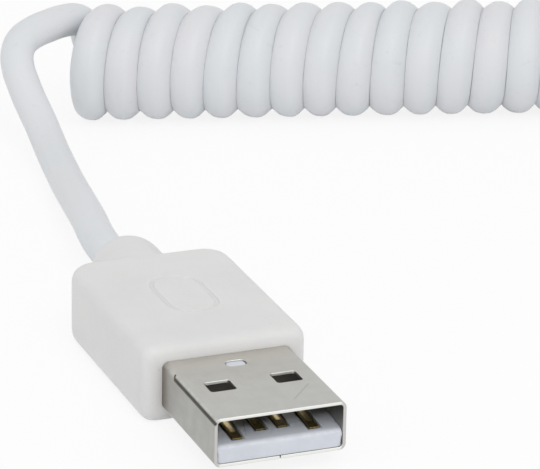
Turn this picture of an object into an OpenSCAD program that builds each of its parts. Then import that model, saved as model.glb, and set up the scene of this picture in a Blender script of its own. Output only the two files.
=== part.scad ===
// Spiral charging cable: a flat USB-A plug, a coiled cord and a micro-B plug.
// Millimetres. +Z is up and z = 0 is the surface that the cable lies on. The origin is under
// the middle of the USB-A plug, whose open end points along -Y. Each plug is drawn in its own
// frame, with its open end at y = 0 and its cord leaving along +Y, and is then put in its place.

/* [Cord] */
// Outside diameter of the cord's jacket
cord_d = 3.5; // [3.2:0.1:4]
// Wall of the jacket
jacket_t = 0.7; // [0.5:0.05:0.8]
// Thickness of the braid folded back over the jacket in each plug
braid_t = 0.15; // [0.1:0.01:0.2]
// Outside diameter of one insulated wire
wire_d = 0.6; // [0.5:0.02:0.62]
// Space between neighbouring wires inside the jacket
wire_gap = 0.08; // [0.04:0.01:0.12]

/* [Coil] */
// Outside diameter of the closed coil
coil_od = 12.3; // [11:0.1:14]
// Distance from one turn to the next, a hair over the cord's diameter
coil_pitch = 3.55; // [3.5:0.01:4.2]
// Number of turns, ending on the underside of the coil
coil_turns = 35.5; // [20.5:1:50.5]
// Direction of the coil's axis, turned from +X
coil_angle = -15.5; // [-20:0.5:-10]

/* [USB-A shell] */
// Outside width of the metal shell
a_shell_w = 12; // [11.8:0.05:12.2]
// Outside height of the metal shell
a_shell_h = 4.5; // [4.4:0.05:4.6]
// Thickness of the shell's sheet
a_sheet_t = 0.3; // [0.25:0.01:0.35]
// Outside radius along the shell's four long corners
a_shell_r = 0.6; // [0.4:0.05:0.8]
// Length of shell that stands out of the grip
a_exposed = 13; // [11.8:0.1:14]
// Length of shell held inside the grip
a_held = 5.5; // [4.5:0.1:6.5]
// Width of a latch window
a_window_w = 2.4; // [2:0.1:2.6]
// Length of a latch window
a_window_l = 2.1; // [1.8:0.1:2.5]
// Distance from the open end to a latch window
a_window_y = 5.5; // [5:0.1:5.8]
// Distance between the middles of the two windows of one face
a_window_pitch = 6.1; // [5:0.1:6.5]
// Corner radius of a latch window
a_window_r = 0.3; // [0.1:0.05:0.5]
// Width of the hole that the insulator's nub snaps into
a_snap_w = 1.9; // [1.6:0.1:2.2]
// Length of that hole
a_snap_l = 1.2; // [1:0.1:1.5]
// Distance from the open end to the middle of that hole
a_snap_y = 10.8; // [10.3:0.1:11.2]
// Width of the seam where the rolled sheet meets itself
seam_w = 0.08; // [0.05:0.01:0.12]
// Distance from the open end to the middle of the first dovetail key
seam_key_y = 3.2; // [2.4:0.1:4]
// Distance from one dovetail key to the next
seam_key_pitch = 5.6; // [4.4:0.1:6.4]
// Length that a dovetail key reaches across from the seam
seam_key_d = 1.2; // [0.8:0.05:1.5]
// Width of a dovetail key at its root
seam_key_root = 1.4; // [1:0.05:1.6]
// Extra width of a dovetail key at its far end
seam_key_flare = 0.6; // [0.3:0.05:0.8]

/* [USB-A insulator and contacts] */
// Thickness of the tongue that carries the contacts
a_tongue_t = 1.95; // [1.85:0.05:2]
// Distance from the open end back to the tongue
a_tongue_set = 0.35; // [0.2:0.05:0.6]
// Free space between the tongue and each side wall of the shell
a_tongue_side = 0.15; // [0.1:0.01:0.25]
// Chamfer along the tongue's front top edge
a_tongue_chamfer = 0.4; // [0.2:0.05:0.6]
// Depth of the mouth, from the open end to the block behind it
a_mouth = 9.2; // [8.8:0.1:9.6]
// Height that the snap nub stands up into its hole
a_nub_h = 0.22; // [0.1:0.01:0.25]
// Width of one contact
a_contact_w = 1; // [0.8:0.05:1.1]
// Thickness of one contact
a_contact_t = 0.25; // [0.2:0.01:0.3]
// Height that a contact stands above the tongue
a_contact_proud = 0.06; // [0.03:0.01:0.12]
// Distance of the two data contacts from the middle
a_data_x = 1; // [0.95:0.01:1.1]
// Distance of the two power contacts from the middle
a_power_x = 3.5; // [3.3:0.05:3.7]
// Distance from the open end to the tips of the power contacts
a_power_y = 1.5; // [1.2:0.1:2]
// Distance from the open end to the tips of the data contacts
a_data_y = 2.5; // [2.2:0.1:3.2]
// Length of the solder tail behind the insulator
a_tail_l = 1.6; // [1.2:0.1:2]

/* [USB-A grip] */
// Width of the moulded grip
a_grip_w = 15.4; // [14:0.1:16]
// Height of the moulded grip
a_grip_h = 7.4; // [7:0.1:8.5]
// Length of the moulded grip, without its collar
a_grip_l = 21.9; // [20:0.1:24]
// Radius along the grip's long edges
a_grip_edge_r = 1.3; // [0.8:0.1:2]
// Radius round the grip's front and rear faces
a_grip_face_r = 1.2; // [0.8:0.1:2]
// Radius of the grip's rear corners, seen from above
a_grip_rear_r = 2.5; // [2:0.1:5]
// Length of the collar that the cord comes out of
a_collar_l = 7.6; // [7:0.1:11]
// Outside diameter of that collar
a_collar_d = 7.2; // [5.5:0.1:7.4]
// Length of the shield can round the shell's rear end and the solder joints
a_can_l = 11; // [10:0.1:11.5]
// Distance that the shield can laps over the shell's rear end
a_can_lap = 2.5; // [1.8:0.1:3]

/* [Micro-B shell] */
// Outside width of the metal shell
b_shell_w = 6.85; // [6.8:0.01:6.9]
// Outside height of the metal shell
b_shell_h = 1.8; // [1.78:0.01:1.85]
// Thickness of the shell's sheet
b_sheet_t = 0.25; // [0.2:0.01:0.28]
// Size of the slanted corners on the latched side
b_bevel = 0.75; // [0.6:0.05:0.85]
// Radius of the two corners on the wide side
b_shell_r = 0.4; // [0.3:0.05:0.5]
// Length of shell that stands out of the grip
b_exposed = 6.2; // [5.8:0.1:6.8]
// Length of shell held inside the grip
b_held = 4.2; // [3.8:0.1:5]

/* [Micro-B insulator and contacts] */
// Thickness of the tongue that carries the contacts
b_tongue_t = 0.6; // [0.5:0.02:0.65]
// Width of that tongue
b_tongue_w = 3.4; // [3.2:0.05:3.5]
// Distance from the open end back to the tongue
b_tongue_set = 0.4; // [0.3:0.05:0.6]
// Depth of the mouth, from the open end to the block behind it
b_mouth = 4.9; // [4.6:0.1:5.2]
// Distance from one contact to the next
b_contact_pitch = 0.65; // [0.63:0.01:0.68]
// Width of one contact
b_contact_w = 0.4; // [0.35:0.01:0.45]
// Thickness of one contact
b_contact_t = 0.15; // [0.12:0.01:0.2]
// Distance from the open end to the contacts' tips
b_contact_y = 0.9; // [0.7:0.05:1.3]
// Length of the solder tail behind the insulator
b_tail_l = 1.3; // [1:0.1:1.6]

/* [Micro-B latches] */
// Distance between the middles of the two latches
b_latch_pitch = 4.3; // [4.2:0.05:4.5]
// Width of a latch arm
b_latch_w = 0.6; // [0.5:0.02:0.65]
// Thickness of a latch arm
b_latch_t = 0.36; // [0.3:0.02:0.4]
// Distance from the open end to the tip of a latch arm
b_latch_y = 1; // [0.8:0.05:1.3]
// Length of the hook, which ramps up from the tip
b_hook_l = 1.3; // [1.1:0.05:1.5]
// Height that the hook stands above the shell
b_hook_h = 0.5; // [0.4:0.02:0.55]
// Radius of the round root that a latch turns on
b_root_r = 0.3; // [0.25:0.01:0.32]
// Free space all round a latch
b_latch_gap = 0.05; // [0.03:0.01:0.08]
// Height that a latch arm sinks when it is pressed home
b_latch_dip = 0.45; // [0.3:0.01:0.5]

/* [Micro-B grip] */
// Width of the moulded grip
b_grip_w = 10.6; // [10:0.1:12]
// Height of the moulded grip
b_grip_h = 7; // [6.4:0.1:8]
// Length of the moulded grip, without its collar
b_grip_l = 17.5; // [16.5:0.1:20]
// Radius along the grip's long edges
b_grip_edge_r = 1.3; // [0.8:0.1:2]
// Radius round the grip's front and rear faces
b_grip_face_r = 1.1; // [0.8:0.1:2]
// Radius of the grip's rear corners, seen from above
b_grip_rear_r = 2.4; // [1.5:0.1:3.5]
// Length of the collar that the cord comes out of
b_collar_l = 8; // [7:0.1:11]
// Outside diameter of that collar
b_collar_d = 6.4; // [5.5:0.1:6.8]
// Width of the shield can
b_can_w = 7.8; // [7.6:0.1:8]
// Length of the shield can
b_can_l = 8.4; // [8:0.1:9]
// Distance that the shield can laps over the shell's rear end
b_can_lap = 1.8; // [1.4:0.1:2.2]

/* [Shield cans and terminations] */
// Thickness of the shield cans' sheet
can_t = 0.25; // [0.2:0.01:0.3]
// Outside radius along the long edges of the micro-B plug's can
b_can_r = 0.8; // [0.5:0.05:1]
// Flat rim of the collars round the cord
collar_rim = 0.2; // [0.1:0.05:0.4]
// Length of the barrel crimped round the braid
crimp_l = 3; // [2.4:0.1:3.6]
// Distance from a can's rear wall to its crimp barrel
crimp_set = 0.9; // [0.7:0.1:1.2]
// Width of the strap that joins the barrel to the can
crimp_strap_w = 2; // [1.4:0.1:2.2]
// Length of braid that shows past each end of the barrel
braid_show = 0.4; // [0.2:0.05:0.5]
// Length of the inner mould that holds the wires apart
inner_mould_l = 1.8; // [1.2:0.1:2]
// Distance from the solder tails to the inner mould
inner_mould_set = 0.4; // [0.2:0.05:0.6]

/* [Surface mark] */
// Length of the plain oblong outline sunk in the top of each grip
mark_l = 9; // [7:0.5:11]
// Width of that outline
mark_w = 5; // [4:0.25:6]
// Width of its groove
mark_groove = 0.5; // [0.3:0.05:0.7]
// Depth of its groove
mark_depth = 0.12; // [0.05:0.01:0.2]

/* [Hidden] */

$fn = 48;
small_fn = 24;
tube_sides = 8;
over = 1;

// The cord
cord_r = cord_d / 2;
core_r = cord_r - jacket_t;
braid_r = cord_r + braid_t;
crimp_r = braid_r + can_t;
wire_r = wire_d / 2;
wire_ring = (wire_d + wire_gap) / sqrt(2);
coil_r = coil_od / 2;

// USB-A plug, lengths from its open end
a_len = a_exposed + a_grip_l + a_collar_l;
a_mid = a_grip_h / 2;
a_floor = a_mid - a_shell_h / 2 + a_sheet_t;
a_tongue_top = a_floor + a_tongue_t;
a_back = a_exposed + a_held;
a_contact_z = a_tongue_top + a_contact_proud - a_contact_t;
a_can_y = a_exposed + a_held - a_can_lap;
a_can_end = a_can_y + a_can_l;
a_tail_end = a_back + a_tail_l;
a_wire_z = a_contact_z + a_contact_t;
seam_keys = [seam_key_y, seam_key_y + seam_key_pitch];

// Micro-B plug, lengths from its open end
b_len = b_exposed + b_grip_l + b_collar_l;
b_mid = b_grip_h / 2;
b_base = b_mid - b_shell_h / 2;
b_floor = b_base + b_sheet_t;
b_tongue_top = b_floor + b_tongue_t;
b_back = b_exposed + b_held;
b_can_y = b_back - b_can_lap;
b_can_end = b_can_y + b_can_l;
b_tail_end = b_back + b_tail_l;
b_wire_z = b_tongue_top + b_contact_t;
b_root_y = b_mouth + b_root_r + b_latch_gap;
b_arm_top = b_base + b_shell_h - b_sheet_t - b_latch_gap;
b_root_z = b_arm_top - b_latch_gap - b_root_r;
b_can_h = 2 * crimp_r;

// Where the coil starts, at the top of its first turn, and where the cord leaves its last turn
coil_start = [12.2, 71.1];
coil_run = coil_turns * coil_pitch;
coil_end = coil_start + coil_run * [cos(coil_angle), sin(coil_angle)];

// Middle line of the cord from the USB-A collar, along the surface and up onto the coil
tail_a_route = concat([[0, a_len / 2, a_mid]], [[0, 24.5, 3.7], [0.5, 28.5, 3.5],
    [1.3, 33, 3.3], [2.2, 38.5, 2.9], [3.2, 44.5, 2.4], [4.2, 50, 2], [4.9, 54.5, 2],
    [5.3, 58, 2.5], [5.4, 61, 3.6], [5.1, 63.2, 5.1], [4.8, 64.9, 6.7], [4.7, 66.2, 8.2],
    [5.1, 67.4, 9.4], [6.2, 68.5, 10.1], [7.8, 69.6, 10.5], [9.6, 70.7, 10.7],
    [11.4, 71.9, 10.7], [13, 73.1, 10.2]]);

// Middle line of the cord from the underside of the last turn, round a quarter turn and on to
// the micro-B collar, as steps from the end of the coil
tail_b_steps = [[0, 0, 0], [-0.7, -5.4, 0], [-1.8, -9.3, 0], [-3.9, -12.7, 0],
    [-6.9, -15.3, 0], [-10.6, -17, 0.1], [-14.6, -17.6, 0.4], [-18.5, -17.6, 1],
    [-22, -17.6, 1.5], [-25, -17.6, 1.75], [-28, -17.6, 1.75]];
tail_b_rest = 1.75;
tail_b_route = [for (step = tail_b_steps) [coil_end.x, coil_end.y, tail_b_rest] + step];
b_cord_out = tail_b_route[len(tail_b_route) - 1];
b_turn = -90;

// ---------------------------------------------------------------- helpers

// Extrudes an (x, z) outline along +Y
module along_y(y0, y1) {
    translate([0, y1, 0]) rotate([90, 0, 0]) linear_extrude(y1 - y0) children();
}

// Extrudes a (y, z) outline along +X, centred on x = 0
module along_x(width) {
    translate([-width / 2, 0, 0]) rotate([90, 0, 90]) linear_extrude(width) children();
}

// A round bar along +Y
module bar_y(y0, y1, r, fn = $fn) {
    translate([0, y0, 0]) rotate([-90, 0, 0]) cylinder(h = y1 - y0, r = r, $fn = fn);
}

// A rectangle with round corners, centred
module rounded_rect(w, h, r) {
    square([w - 2 * r, h], center = true);
    square([w, h - 2 * r], center = true);
    for (x = [-1, 1], y = [-1, 1])
        translate([x * (w / 2 - r), y * (h / 2 - r)]) circle(r);
}

// A grip's outline seen from above, with its front edge on y = 0
module plan_outline(w, l, front_r, rear_r) {
    translate([-w / 2 + front_r, 0]) square([w - 2 * front_r, l / 2]);
    translate([-w / 2 + rear_r, l / 2]) square([w - 2 * rear_r, l / 2]);
    translate([-w / 2, front_r]) square([w, l - front_r - rear_r]);
    for (x = [-1, 1]) {
        translate([x * (w / 2 - front_r), front_r]) circle(front_r);
        translate([x * (w / 2 - rear_r), l - rear_r]) circle(rear_r);
    }
}

function unit(v) = v / norm(v);
function last(p) = len(p) - 1;
function heading(p, i) = unit(p[min(i + 1, last(p))] - p[max(i - 1, 0)]);
function ring(p, i, r, n) =
    let (t = heading(p, i), side = unit(cross(t, [0, 0, 1])), up = cross(side, t))
    [for (k = [0:n - 1]) p[i] + r * (cos(360 * k / n) * side + sin(360 * k / n) * up)];

// A tube swept along a route
module swept_tube(p, r, n) {
    polyhedron(
        points = [for (i = [0:last(p)]) each ring(p, i, r, n)],
        faces = concat(
            [[for (k = [n - 1:-1:0]) k]],
            [[for (k = [0:n - 1]) last(p) * n + k]],
            [for (i = [0:last(p) - 1], k = [0:n - 1])
                [i * n + k, i * n + (k + 1) % n, (i + 1) * n + k]],
            [for (i = [0:last(p) - 1], k = [0:n - 1])
                [i * n + (k + 1) % n, (i + 1) * n + (k + 1) % n, (i + 1) * n + k]]));
}

// Both plugs are drawn from their open end and put in place by these two
module at_a() {
    translate([0, -a_len / 2, 0]) children();
}

module at_b() {
    translate([b_cord_out.x - b_len, b_cord_out.y, 0]) rotate([0, 0, b_turn]) children();
}

// ---------------------------------------------------------------- shared forms

// A moulded grip and its collar, solid, from y = front on
module grip_body(w, h, l, edge_r, face_r, rear_r, front, collar_l, collar_d) {
    translate([0, front, 0]) intersection() {
        along_y(0, l) translate([0, h / 2]) rounded_rect(w, h, edge_r);
        linear_extrude(h) plan_outline(w, l, face_r, rear_r);
        along_x(w) translate([l / 2, h / 2]) rounded_rect(l, h, face_r);
    }
    translate([0, front + l - rear_r, h / 2]) rotate([-90, 0, 0])
        collar(rear_r + collar_l, collar_d / 2);
}

// A round collar along +Z whose end is domed down to a narrow flat rim
module collar(length, r) {
    dome = sqrt(pow(r, 2) - pow(cord_r + collar_rim, 2));
    rotate_extrude() {
        square([r, length - dome]);
        intersection() {
            translate([0, length - dome]) circle(r);
            translate([0, length - dome - over]) square([r, dome + over]);
        }
    }
}

// The plain oblong outline sunk in the top of a grip
module mark_groove(y, top) {
    translate([0, y, top - mark_depth]) linear_extrude(mark_depth + over) difference() {
        rounded_rect(mark_w, mark_l, mark_w / 2 - mark_groove / 10);
        rounded_rect(mark_w - 2 * mark_groove, mark_l - 2 * mark_groove,
            mark_w / 2 - mark_groove * 1.1);
    }
}

// Room that the cord, its braid, the crimp barrel and its strap take inside a grip
module termination_room(wall, end) {
    bar_y(wall, end + over, cord_r);
    bar_y(wall + crimp_set - braid_show, wall + crimp_set + crimp_l + braid_show, braid_r);
    bar_y(wall + crimp_set, wall + crimp_set + crimp_l, crimp_r);
    strap(wall);
}

module strap(wall) {
    translate([-crimp_strap_w / 2, wall, -crimp_r])
        cube([crimp_strap_w, crimp_set, can_t]);
}

// The barrel crimped round the braid, with the strap that joins it to the can
module crimp(wall) {
    difference() {
        bar_y(wall + crimp_set, wall + crimp_set + crimp_l, crimp_r);
        bar_y(wall + crimp_set - over, wall + crimp_set + crimp_l + over, braid_r);
    }
    strap(wall);
}

// Braid folded back over the end of the jacket
module braid(wall) {
    difference() {
        bar_y(wall + crimp_set - braid_show, wall + crimp_set + crimp_l + braid_show, braid_r);
        bar_y(wall, wall + crimp_set + crimp_l + braid_show + over, cord_r);
    }
}

// The end of the jacket, from the can's rear wall to the mouth of the collar
module cord_end(wall, end) {
    difference() {
        bar_y(wall, end, cord_r);
        bar_y(wall - over, end + over, core_r);
    }
}

// One wire: straight through the inner mould, up or down to its level between y1 and the
// middle, across to its place in the jacket between the middle and y2, and on to y3
function ease(s) = let (t = max(0, min(1, s))) t * t * (3 - 2 * t);
function wire_route(x, z, y0, y1, y2, y3, to) = concat([[x, y0, z]],
    [for (i = [0:10]) let (s = i / 10) [x + (to.x - x) * ease(s * 1.6 - 0.6),
        y1 + (y2 - y1) * s, z + (to.y - z) * ease(s * 2)]],
    [[to.x, y3, to.y]]);

// Places of the four wires in the jacket, seen along the cord
function in_jacket(i, mid) =
    [wire_ring * cos(45 + 90 * i), mid + wire_ring * sin(45 + 90 * i)];

// A solder joint: half a bead on the tail's top
module solder_bead(y0, y1, r) {
    intersection() {
        bar_y(y0, y1, r, small_fn);
        translate([-r, y0, 0]) cube([2 * r, y1 - y0, r]);
    }
}

// ---------------------------------------------------------------- USB-A plug

module a_outline(inset) {
    translate([0, a_mid])
        rounded_rect(a_shell_w - 2 * inset, a_shell_h - 2 * inset, a_shell_r - inset);
}

// A dovetail key's outline, from the seam out to its wide end
module key_outline(grow, back) {
    root = seam_key_root / 2 + grow;
    far = seam_key_root / 2 + seam_key_flare / 2 + grow;
    polygon([[-back, -root], [0, -root], [seam_key_d + grow, -far], [seam_key_d + grow, far],
        [0, root], [-back, root]]);
}

// The slit left by the seam, which runs out and back round each dovetail key
module seam_outline() {
    half = seam_w / 2;
    difference() {
        union() {
            translate([-half, -over]) square([seam_w, a_back + 2 * over]);
            for (y = seam_keys) translate([0, y]) key_outline(half, half);
        }
        for (y = seam_keys) translate([0, y]) key_outline(-half, seam_w);
    }
}

module a_seam() {
    translate([0, 0, a_floor - a_sheet_t - over]) linear_extrude(a_sheet_t + 1.5 * over)
        seam_outline();
}

module usb_a_shell() {
    color([0.75, 0.75, 0.73]) at_a() difference() {
        along_y(0, a_back) difference() {
            a_outline(0);
            a_outline(a_sheet_t);
        }
        for (x = [-1, 1])
            translate([x * a_window_pitch / 2, a_window_y + a_window_l / 2, -over])
                linear_extrude(a_grip_h + 2 * over)
                    rounded_rect(a_window_w, a_window_l, a_window_r);
        translate([0, a_snap_y, a_mid]) linear_extrude(a_grip_h)
            rounded_rect(a_snap_w, a_snap_l, a_snap_l / 2 - 0.1);
        a_seam();
    }
}

a_contact_places = [[-a_power_x, a_power_y], [-a_data_x, a_data_y],
    [a_data_x, a_data_y], [a_power_x, a_power_y]];

module usb_a_insulator() {
    side = a_shell_w / 2 - a_sheet_t - a_tongue_side;
    tongue_l = a_mouth - a_tongue_set;
    color([0.9, 0.92, 0.95]) at_a() difference() {
        union() {
            intersection() {
                along_x(2 * side) polygon([[a_tongue_set, a_floor],
                    [a_tongue_set, a_tongue_top - a_tongue_chamfer],
                    [a_tongue_set + a_tongue_chamfer, a_tongue_top],
                    [a_mouth + over, a_tongue_top], [a_mouth + over, a_floor]]);
                translate([0, a_tongue_set, 0]) linear_extrude(a_grip_h)
                    plan_outline(2 * side, tongue_l * 2, 0.8, 0.8);
                along_y(0, a_back) a_outline(a_sheet_t);
            }
            along_y(a_mouth, a_back) a_outline(a_sheet_t);
            translate([0, a_snap_y, a_mid]) linear_extrude(a_shell_h / 2 - a_sheet_t + a_nub_h)
                rounded_rect(a_snap_w - 0.2, a_snap_l - 0.2, a_snap_l / 2 - 0.2);
        }
        for (place = a_contact_places) translate([place.x, 0, 0]) {
            translate([-a_contact_w / 2 - 0.15, place.y - 0.6, a_contact_z])
                cube([a_contact_w + 0.3, a_mouth - place.y + 0.6, a_contact_t]);
            translate([-a_contact_w / 2, 0, a_contact_z])
                cube([a_contact_w, a_back + over, a_contact_t]);
        }
    }
}

// A contact: a flat strip whose tip slopes down into the tongue, with a tail for solder
module a_contact(i) {
    tip = a_contact_places[i].y;
    color([0.8, 0.62, 0.25]) at_a() translate([a_contact_places[i].x, 0, a_contact_z])
        along_x(a_contact_w) polygon([[tip, 0], [tip, a_contact_t * 0.3],
            [tip + 0.6, a_contact_t], [a_tail_end, a_contact_t], [a_tail_end, 0]]);
}

module usb_a_solder_joints() {
    color([0.7, 0.7, 0.72]) at_a() for (place = a_contact_places)
        translate([place.x, 0, a_wire_z])
            solder_bead(a_back + 0.2, a_tail_end, a_contact_w * 0.42);
}

module a_can_outline(inset) {
    translate([0, a_mid]) rounded_rect(a_shell_w + 2 * (can_t - inset),
        a_shell_h + 2 * (can_t - inset), a_shell_r + can_t - inset);
}

module a_can() {
    difference() {
        along_y(a_can_y, a_can_end) a_can_outline(0);
        along_y(a_can_y - over, a_can_end - can_t) a_can_outline(can_t);
        translate([0, 0, a_mid]) bar_y(a_can_y, a_can_end + over, core_r);
    }
}

module usb_a_shield_upper() {
    color([0.72, 0.72, 0.7]) at_a() intersection() {
        a_can();
        translate([-a_grip_w, 0, a_mid]) cube([2 * a_grip_w, a_len, a_grip_h]);
    }
}

module usb_a_shield_lower() {
    color([0.68, 0.68, 0.66]) at_a() {
        intersection() {
            a_can();
            translate([-a_grip_w, 0, a_mid - a_grip_h]) cube([2 * a_grip_w, a_len, a_grip_h]);
        }
        translate([0, 0, a_mid]) crimp(a_can_end);
    }
}

module usb_a_inner_mould() {
    y0 = a_tail_end + inner_mould_set;
    color([0.93, 0.93, 0.9]) at_a() difference() {
        along_y(y0, y0 + inner_mould_l) a_can_outline(can_t);
        for (place = a_contact_places) translate([place.x, 0, a_wire_z])
            bar_y(y0 - over, y0 + inner_mould_l + over, wire_r, small_fn);
    }
}

module a_wire(i, paint) {
    y1 = a_tail_end + inner_mould_set + inner_mould_l + 0.1;
    to = in_jacket(a_wire_slots[i], a_mid);
    color(paint) at_a() swept_tube(wire_route(a_contact_places[i].x, a_wire_z, a_tail_end, y1,
        a_can_end - can_t, a_len, to), wire_r, tube_sides);
}

// Which of the four places in the jacket each contact's wire goes to
a_wire_slots = [1, 2, 3, 0];

module usb_a_braid() {
    color([0.6, 0.58, 0.55]) at_a() translate([0, 0, a_mid]) braid(a_can_end);
}

module usb_a_cord_end() {
    color([0.93, 0.93, 0.94]) at_a() translate([0, 0, a_mid]) cord_end(a_can_end, a_len);
}

module usb_a_grip() {
    color([0.94, 0.94, 0.94]) at_a() difference() {
        grip_body(a_grip_w, a_grip_h, a_grip_l, a_grip_edge_r, a_grip_face_r, a_grip_rear_r,
            a_exposed, a_collar_l, a_collar_d);
        along_y(a_exposed - over, a_can_y) a_outline(0);
        along_y(a_can_y, a_can_end) a_can_outline(0);
        translate([0, 0, a_mid]) termination_room(a_can_end, a_len);
        mark_groove(a_exposed + a_grip_l / 2, a_grip_h);
    }
}

// ---------------------------------------------------------------- cord

module cord_tail_a() {
    color([0.9, 0.91, 0.92]) swept_tube(tail_a_route, cord_r, tube_sides);
}

module cord_coil() {
    color([0.88, 0.89, 0.9]) translate([coil_start.x, coil_start.y, coil_r])
        rotate([0, 90, coil_angle]) translate([0, 0, -cord_r])
            cylinder(h = coil_run + cord_d, r = coil_r);
}

module cord_tail_b() {
    color([0.9, 0.91, 0.92]) swept_tube(tail_b_route, cord_r, tube_sides);
}

// ---------------------------------------------------------------- micro-B plug

// The shell's outline, wide below and slanted at its two upper corners
module b_outline(inset) {
    w = b_shell_w / 2 - inset;
    h = b_shell_h - 2 * inset;
    r = b_shell_r - inset;
    slant = b_bevel - inset * (2 - sqrt(2));
    translate([0, b_base + inset]) {
        polygon([[-w + r, 0], [w - r, 0], [w, r], [w, h - slant], [w - slant, h],
            [-w + slant, h], [-w, h - slant], [-w, r]]);
        for (x = [-1, 1]) translate([x * (w - r), r]) circle(r, $fn = small_fn);
    }
}

b_hook_y1 = b_latch_y + b_hook_l;

module micro_b_shell() {
    color([0.75, 0.75, 0.73]) at_b() difference() {
        along_y(0, b_back) difference() {
            b_outline(0);
            b_outline(b_sheet_t);
        }
        for (x = [-1, 1])
            translate([x * b_latch_pitch / 2 - b_latch_w / 2 - b_latch_gap,
                b_latch_y - b_latch_gap, b_mid])
                cube([b_latch_w + 2 * b_latch_gap,
                    b_hook_l + 2 * b_latch_gap + b_latch_dip / 2, b_shell_h]);
    }
}

b_contact_xs = [for (i = [-2:2]) i * b_contact_pitch];

module micro_b_insulator() {
    channel = b_latch_w + 2 * b_latch_gap;
    color([0.12, 0.12, 0.13]) at_b() difference() {
        union() {
            along_y(b_mouth, b_back) b_outline(b_sheet_t);
            translate([-b_tongue_w / 2, b_tongue_set, b_floor])
                cube([b_tongue_w, b_mouth - b_tongue_set + 0.1, b_tongue_t]);
        }
        for (x = b_contact_xs) translate([x - b_contact_w / 2, b_mouth - over, b_tongue_top])
            cube([b_contact_w, b_back - b_mouth + 2 * over, b_contact_t]);
        for (x = [-1, 1]) translate([x * b_latch_pitch / 2, 0, 0]) {
            translate([-channel / 2, b_root_y, b_root_z]) rotate([0, 90, 0])
                cylinder(h = channel, r = b_root_r + b_latch_gap, $fn = small_fn);
            translate([-channel / 2, b_mouth - over, b_root_z - b_root_r - b_latch_gap])
                cube([channel, b_root_y - b_mouth + over, b_shell_h]);
        }
    }
}

// A contact: a flat strip on the tongue with a tail for solder
module b_contact(i) {
    color([0.8, 0.62, 0.25]) at_b() translate([b_contact_xs[i], 0, b_tongue_top])
        along_x(b_contact_w) polygon([[b_contact_y, 0], [b_contact_y, b_contact_t * 0.3],
            [b_contact_y + 0.3, b_contact_t], [b_tail_end, b_contact_t], [b_tail_end, 0]]);
}

// A latch: a springy arm on a round root, with a hook that stands up through the shell
module b_latch(side) {
    bottom = b_arm_top - b_latch_t;
    peak = b_base + b_shell_h + b_hook_h;
    color([0.7, 0.71, 0.72]) at_b() translate([side * b_latch_pitch / 2, 0, 0]) {
        along_x(b_latch_w) polygon([[b_latch_y, bottom], [b_latch_y, b_arm_top - b_latch_t / 3],
            [b_latch_y + b_hook_l * 0.75, peak], [b_hook_y1, peak], [b_hook_y1, b_arm_top],
            [b_root_y - b_root_r, b_arm_top], [b_root_y, b_root_z], [b_root_y, bottom]]);
        translate([-b_latch_w / 2, b_root_y, b_root_z]) rotate([0, 90, 0])
            cylinder(h = b_latch_w, r = b_root_r, $fn = small_fn);
    }
}

module b_can_outline(inset) {
    translate([0, b_mid])
        rounded_rect(b_can_w - 2 * inset, b_can_h - 2 * inset, b_can_r - inset);
}

module b_can() {
    difference() {
        along_y(b_can_y, b_can_end) b_can_outline(0);
        along_y(b_can_y + can_t, b_can_end - can_t) b_can_outline(can_t);
        along_y(b_can_y - over, b_can_y + over) b_outline(0);
        translate([0, 0, b_mid]) bar_y(b_can_end - over, b_can_end + over, core_r);
    }
}

module micro_b_shield_upper() {
    color([0.72, 0.72, 0.7]) at_b() intersection() {
        b_can();
        translate([-b_grip_w, 0, b_mid]) cube([2 * b_grip_w, b_len, b_grip_h]);
    }
}

module micro_b_shield_lower() {
    color([0.68, 0.68, 0.66]) at_b() {
        intersection() {
            b_can();
            translate([-b_grip_w, 0, b_mid - b_grip_h]) cube([2 * b_grip_w, b_len, b_grip_h]);
        }
        translate([0, 0, b_mid]) crimp(b_can_end);
    }
}

// Four of the five contacts carry a wire: the fourth one is left open
b_wired = [0, 1, 2, 4];
b_wire_slots = [1, 2, 3, 0];

module micro_b_solder_joints() {
    color([0.7, 0.7, 0.72]) at_b() for (i = b_wired) translate([b_contact_xs[i], 0, b_wire_z])
        solder_bead(b_back + 0.2, b_tail_end, b_contact_w * 0.5);
}

module micro_b_inner_mould() {
    y0 = b_tail_end + inner_mould_set;
    color([0.93, 0.93, 0.9]) at_b() difference() {
        along_y(y0, y0 + inner_mould_l * 0.7) b_can_outline(can_t);
        for (i = b_wired) translate([b_contact_xs[i], 0, b_wire_z])
            bar_y(y0 - over, y0 + inner_mould_l + over, wire_r, small_fn);
    }
}

module b_wire(i, paint) {
    y1 = b_tail_end + inner_mould_set + inner_mould_l * 0.7 + 0.05;
    to = in_jacket(b_wire_slots[i], b_mid);
    color(paint) at_b() swept_tube(wire_route(b_contact_xs[b_wired[i]], b_wire_z, b_tail_end,
        y1, b_can_end - can_t, b_len, to), wire_r, tube_sides);
}

module micro_b_braid() {
    color([0.6, 0.58, 0.55]) at_b() translate([0, 0, b_mid]) braid(b_can_end);
}

module micro_b_cord_end() {
    color([0.93, 0.93, 0.94]) at_b() translate([0, 0, b_mid]) cord_end(b_can_end, b_len);
}

module micro_b_grip() {
    color([0.94, 0.94, 0.94]) at_b() difference() {
        grip_body(b_grip_w, b_grip_h, b_grip_l, b_grip_edge_r, b_grip_face_r, b_grip_rear_r,
            b_exposed, b_collar_l, b_collar_d);
        along_y(b_exposed - over, b_can_y) b_outline(0);
        along_y(b_can_y, b_can_end) b_can_outline(0);
        translate([0, 0, b_mid]) termination_room(b_can_end, b_len);
        mark_groove(b_exposed + b_grip_l / 2, b_grip_h);
    }
}

// ---------------------------------------------------------------- nodes

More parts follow.
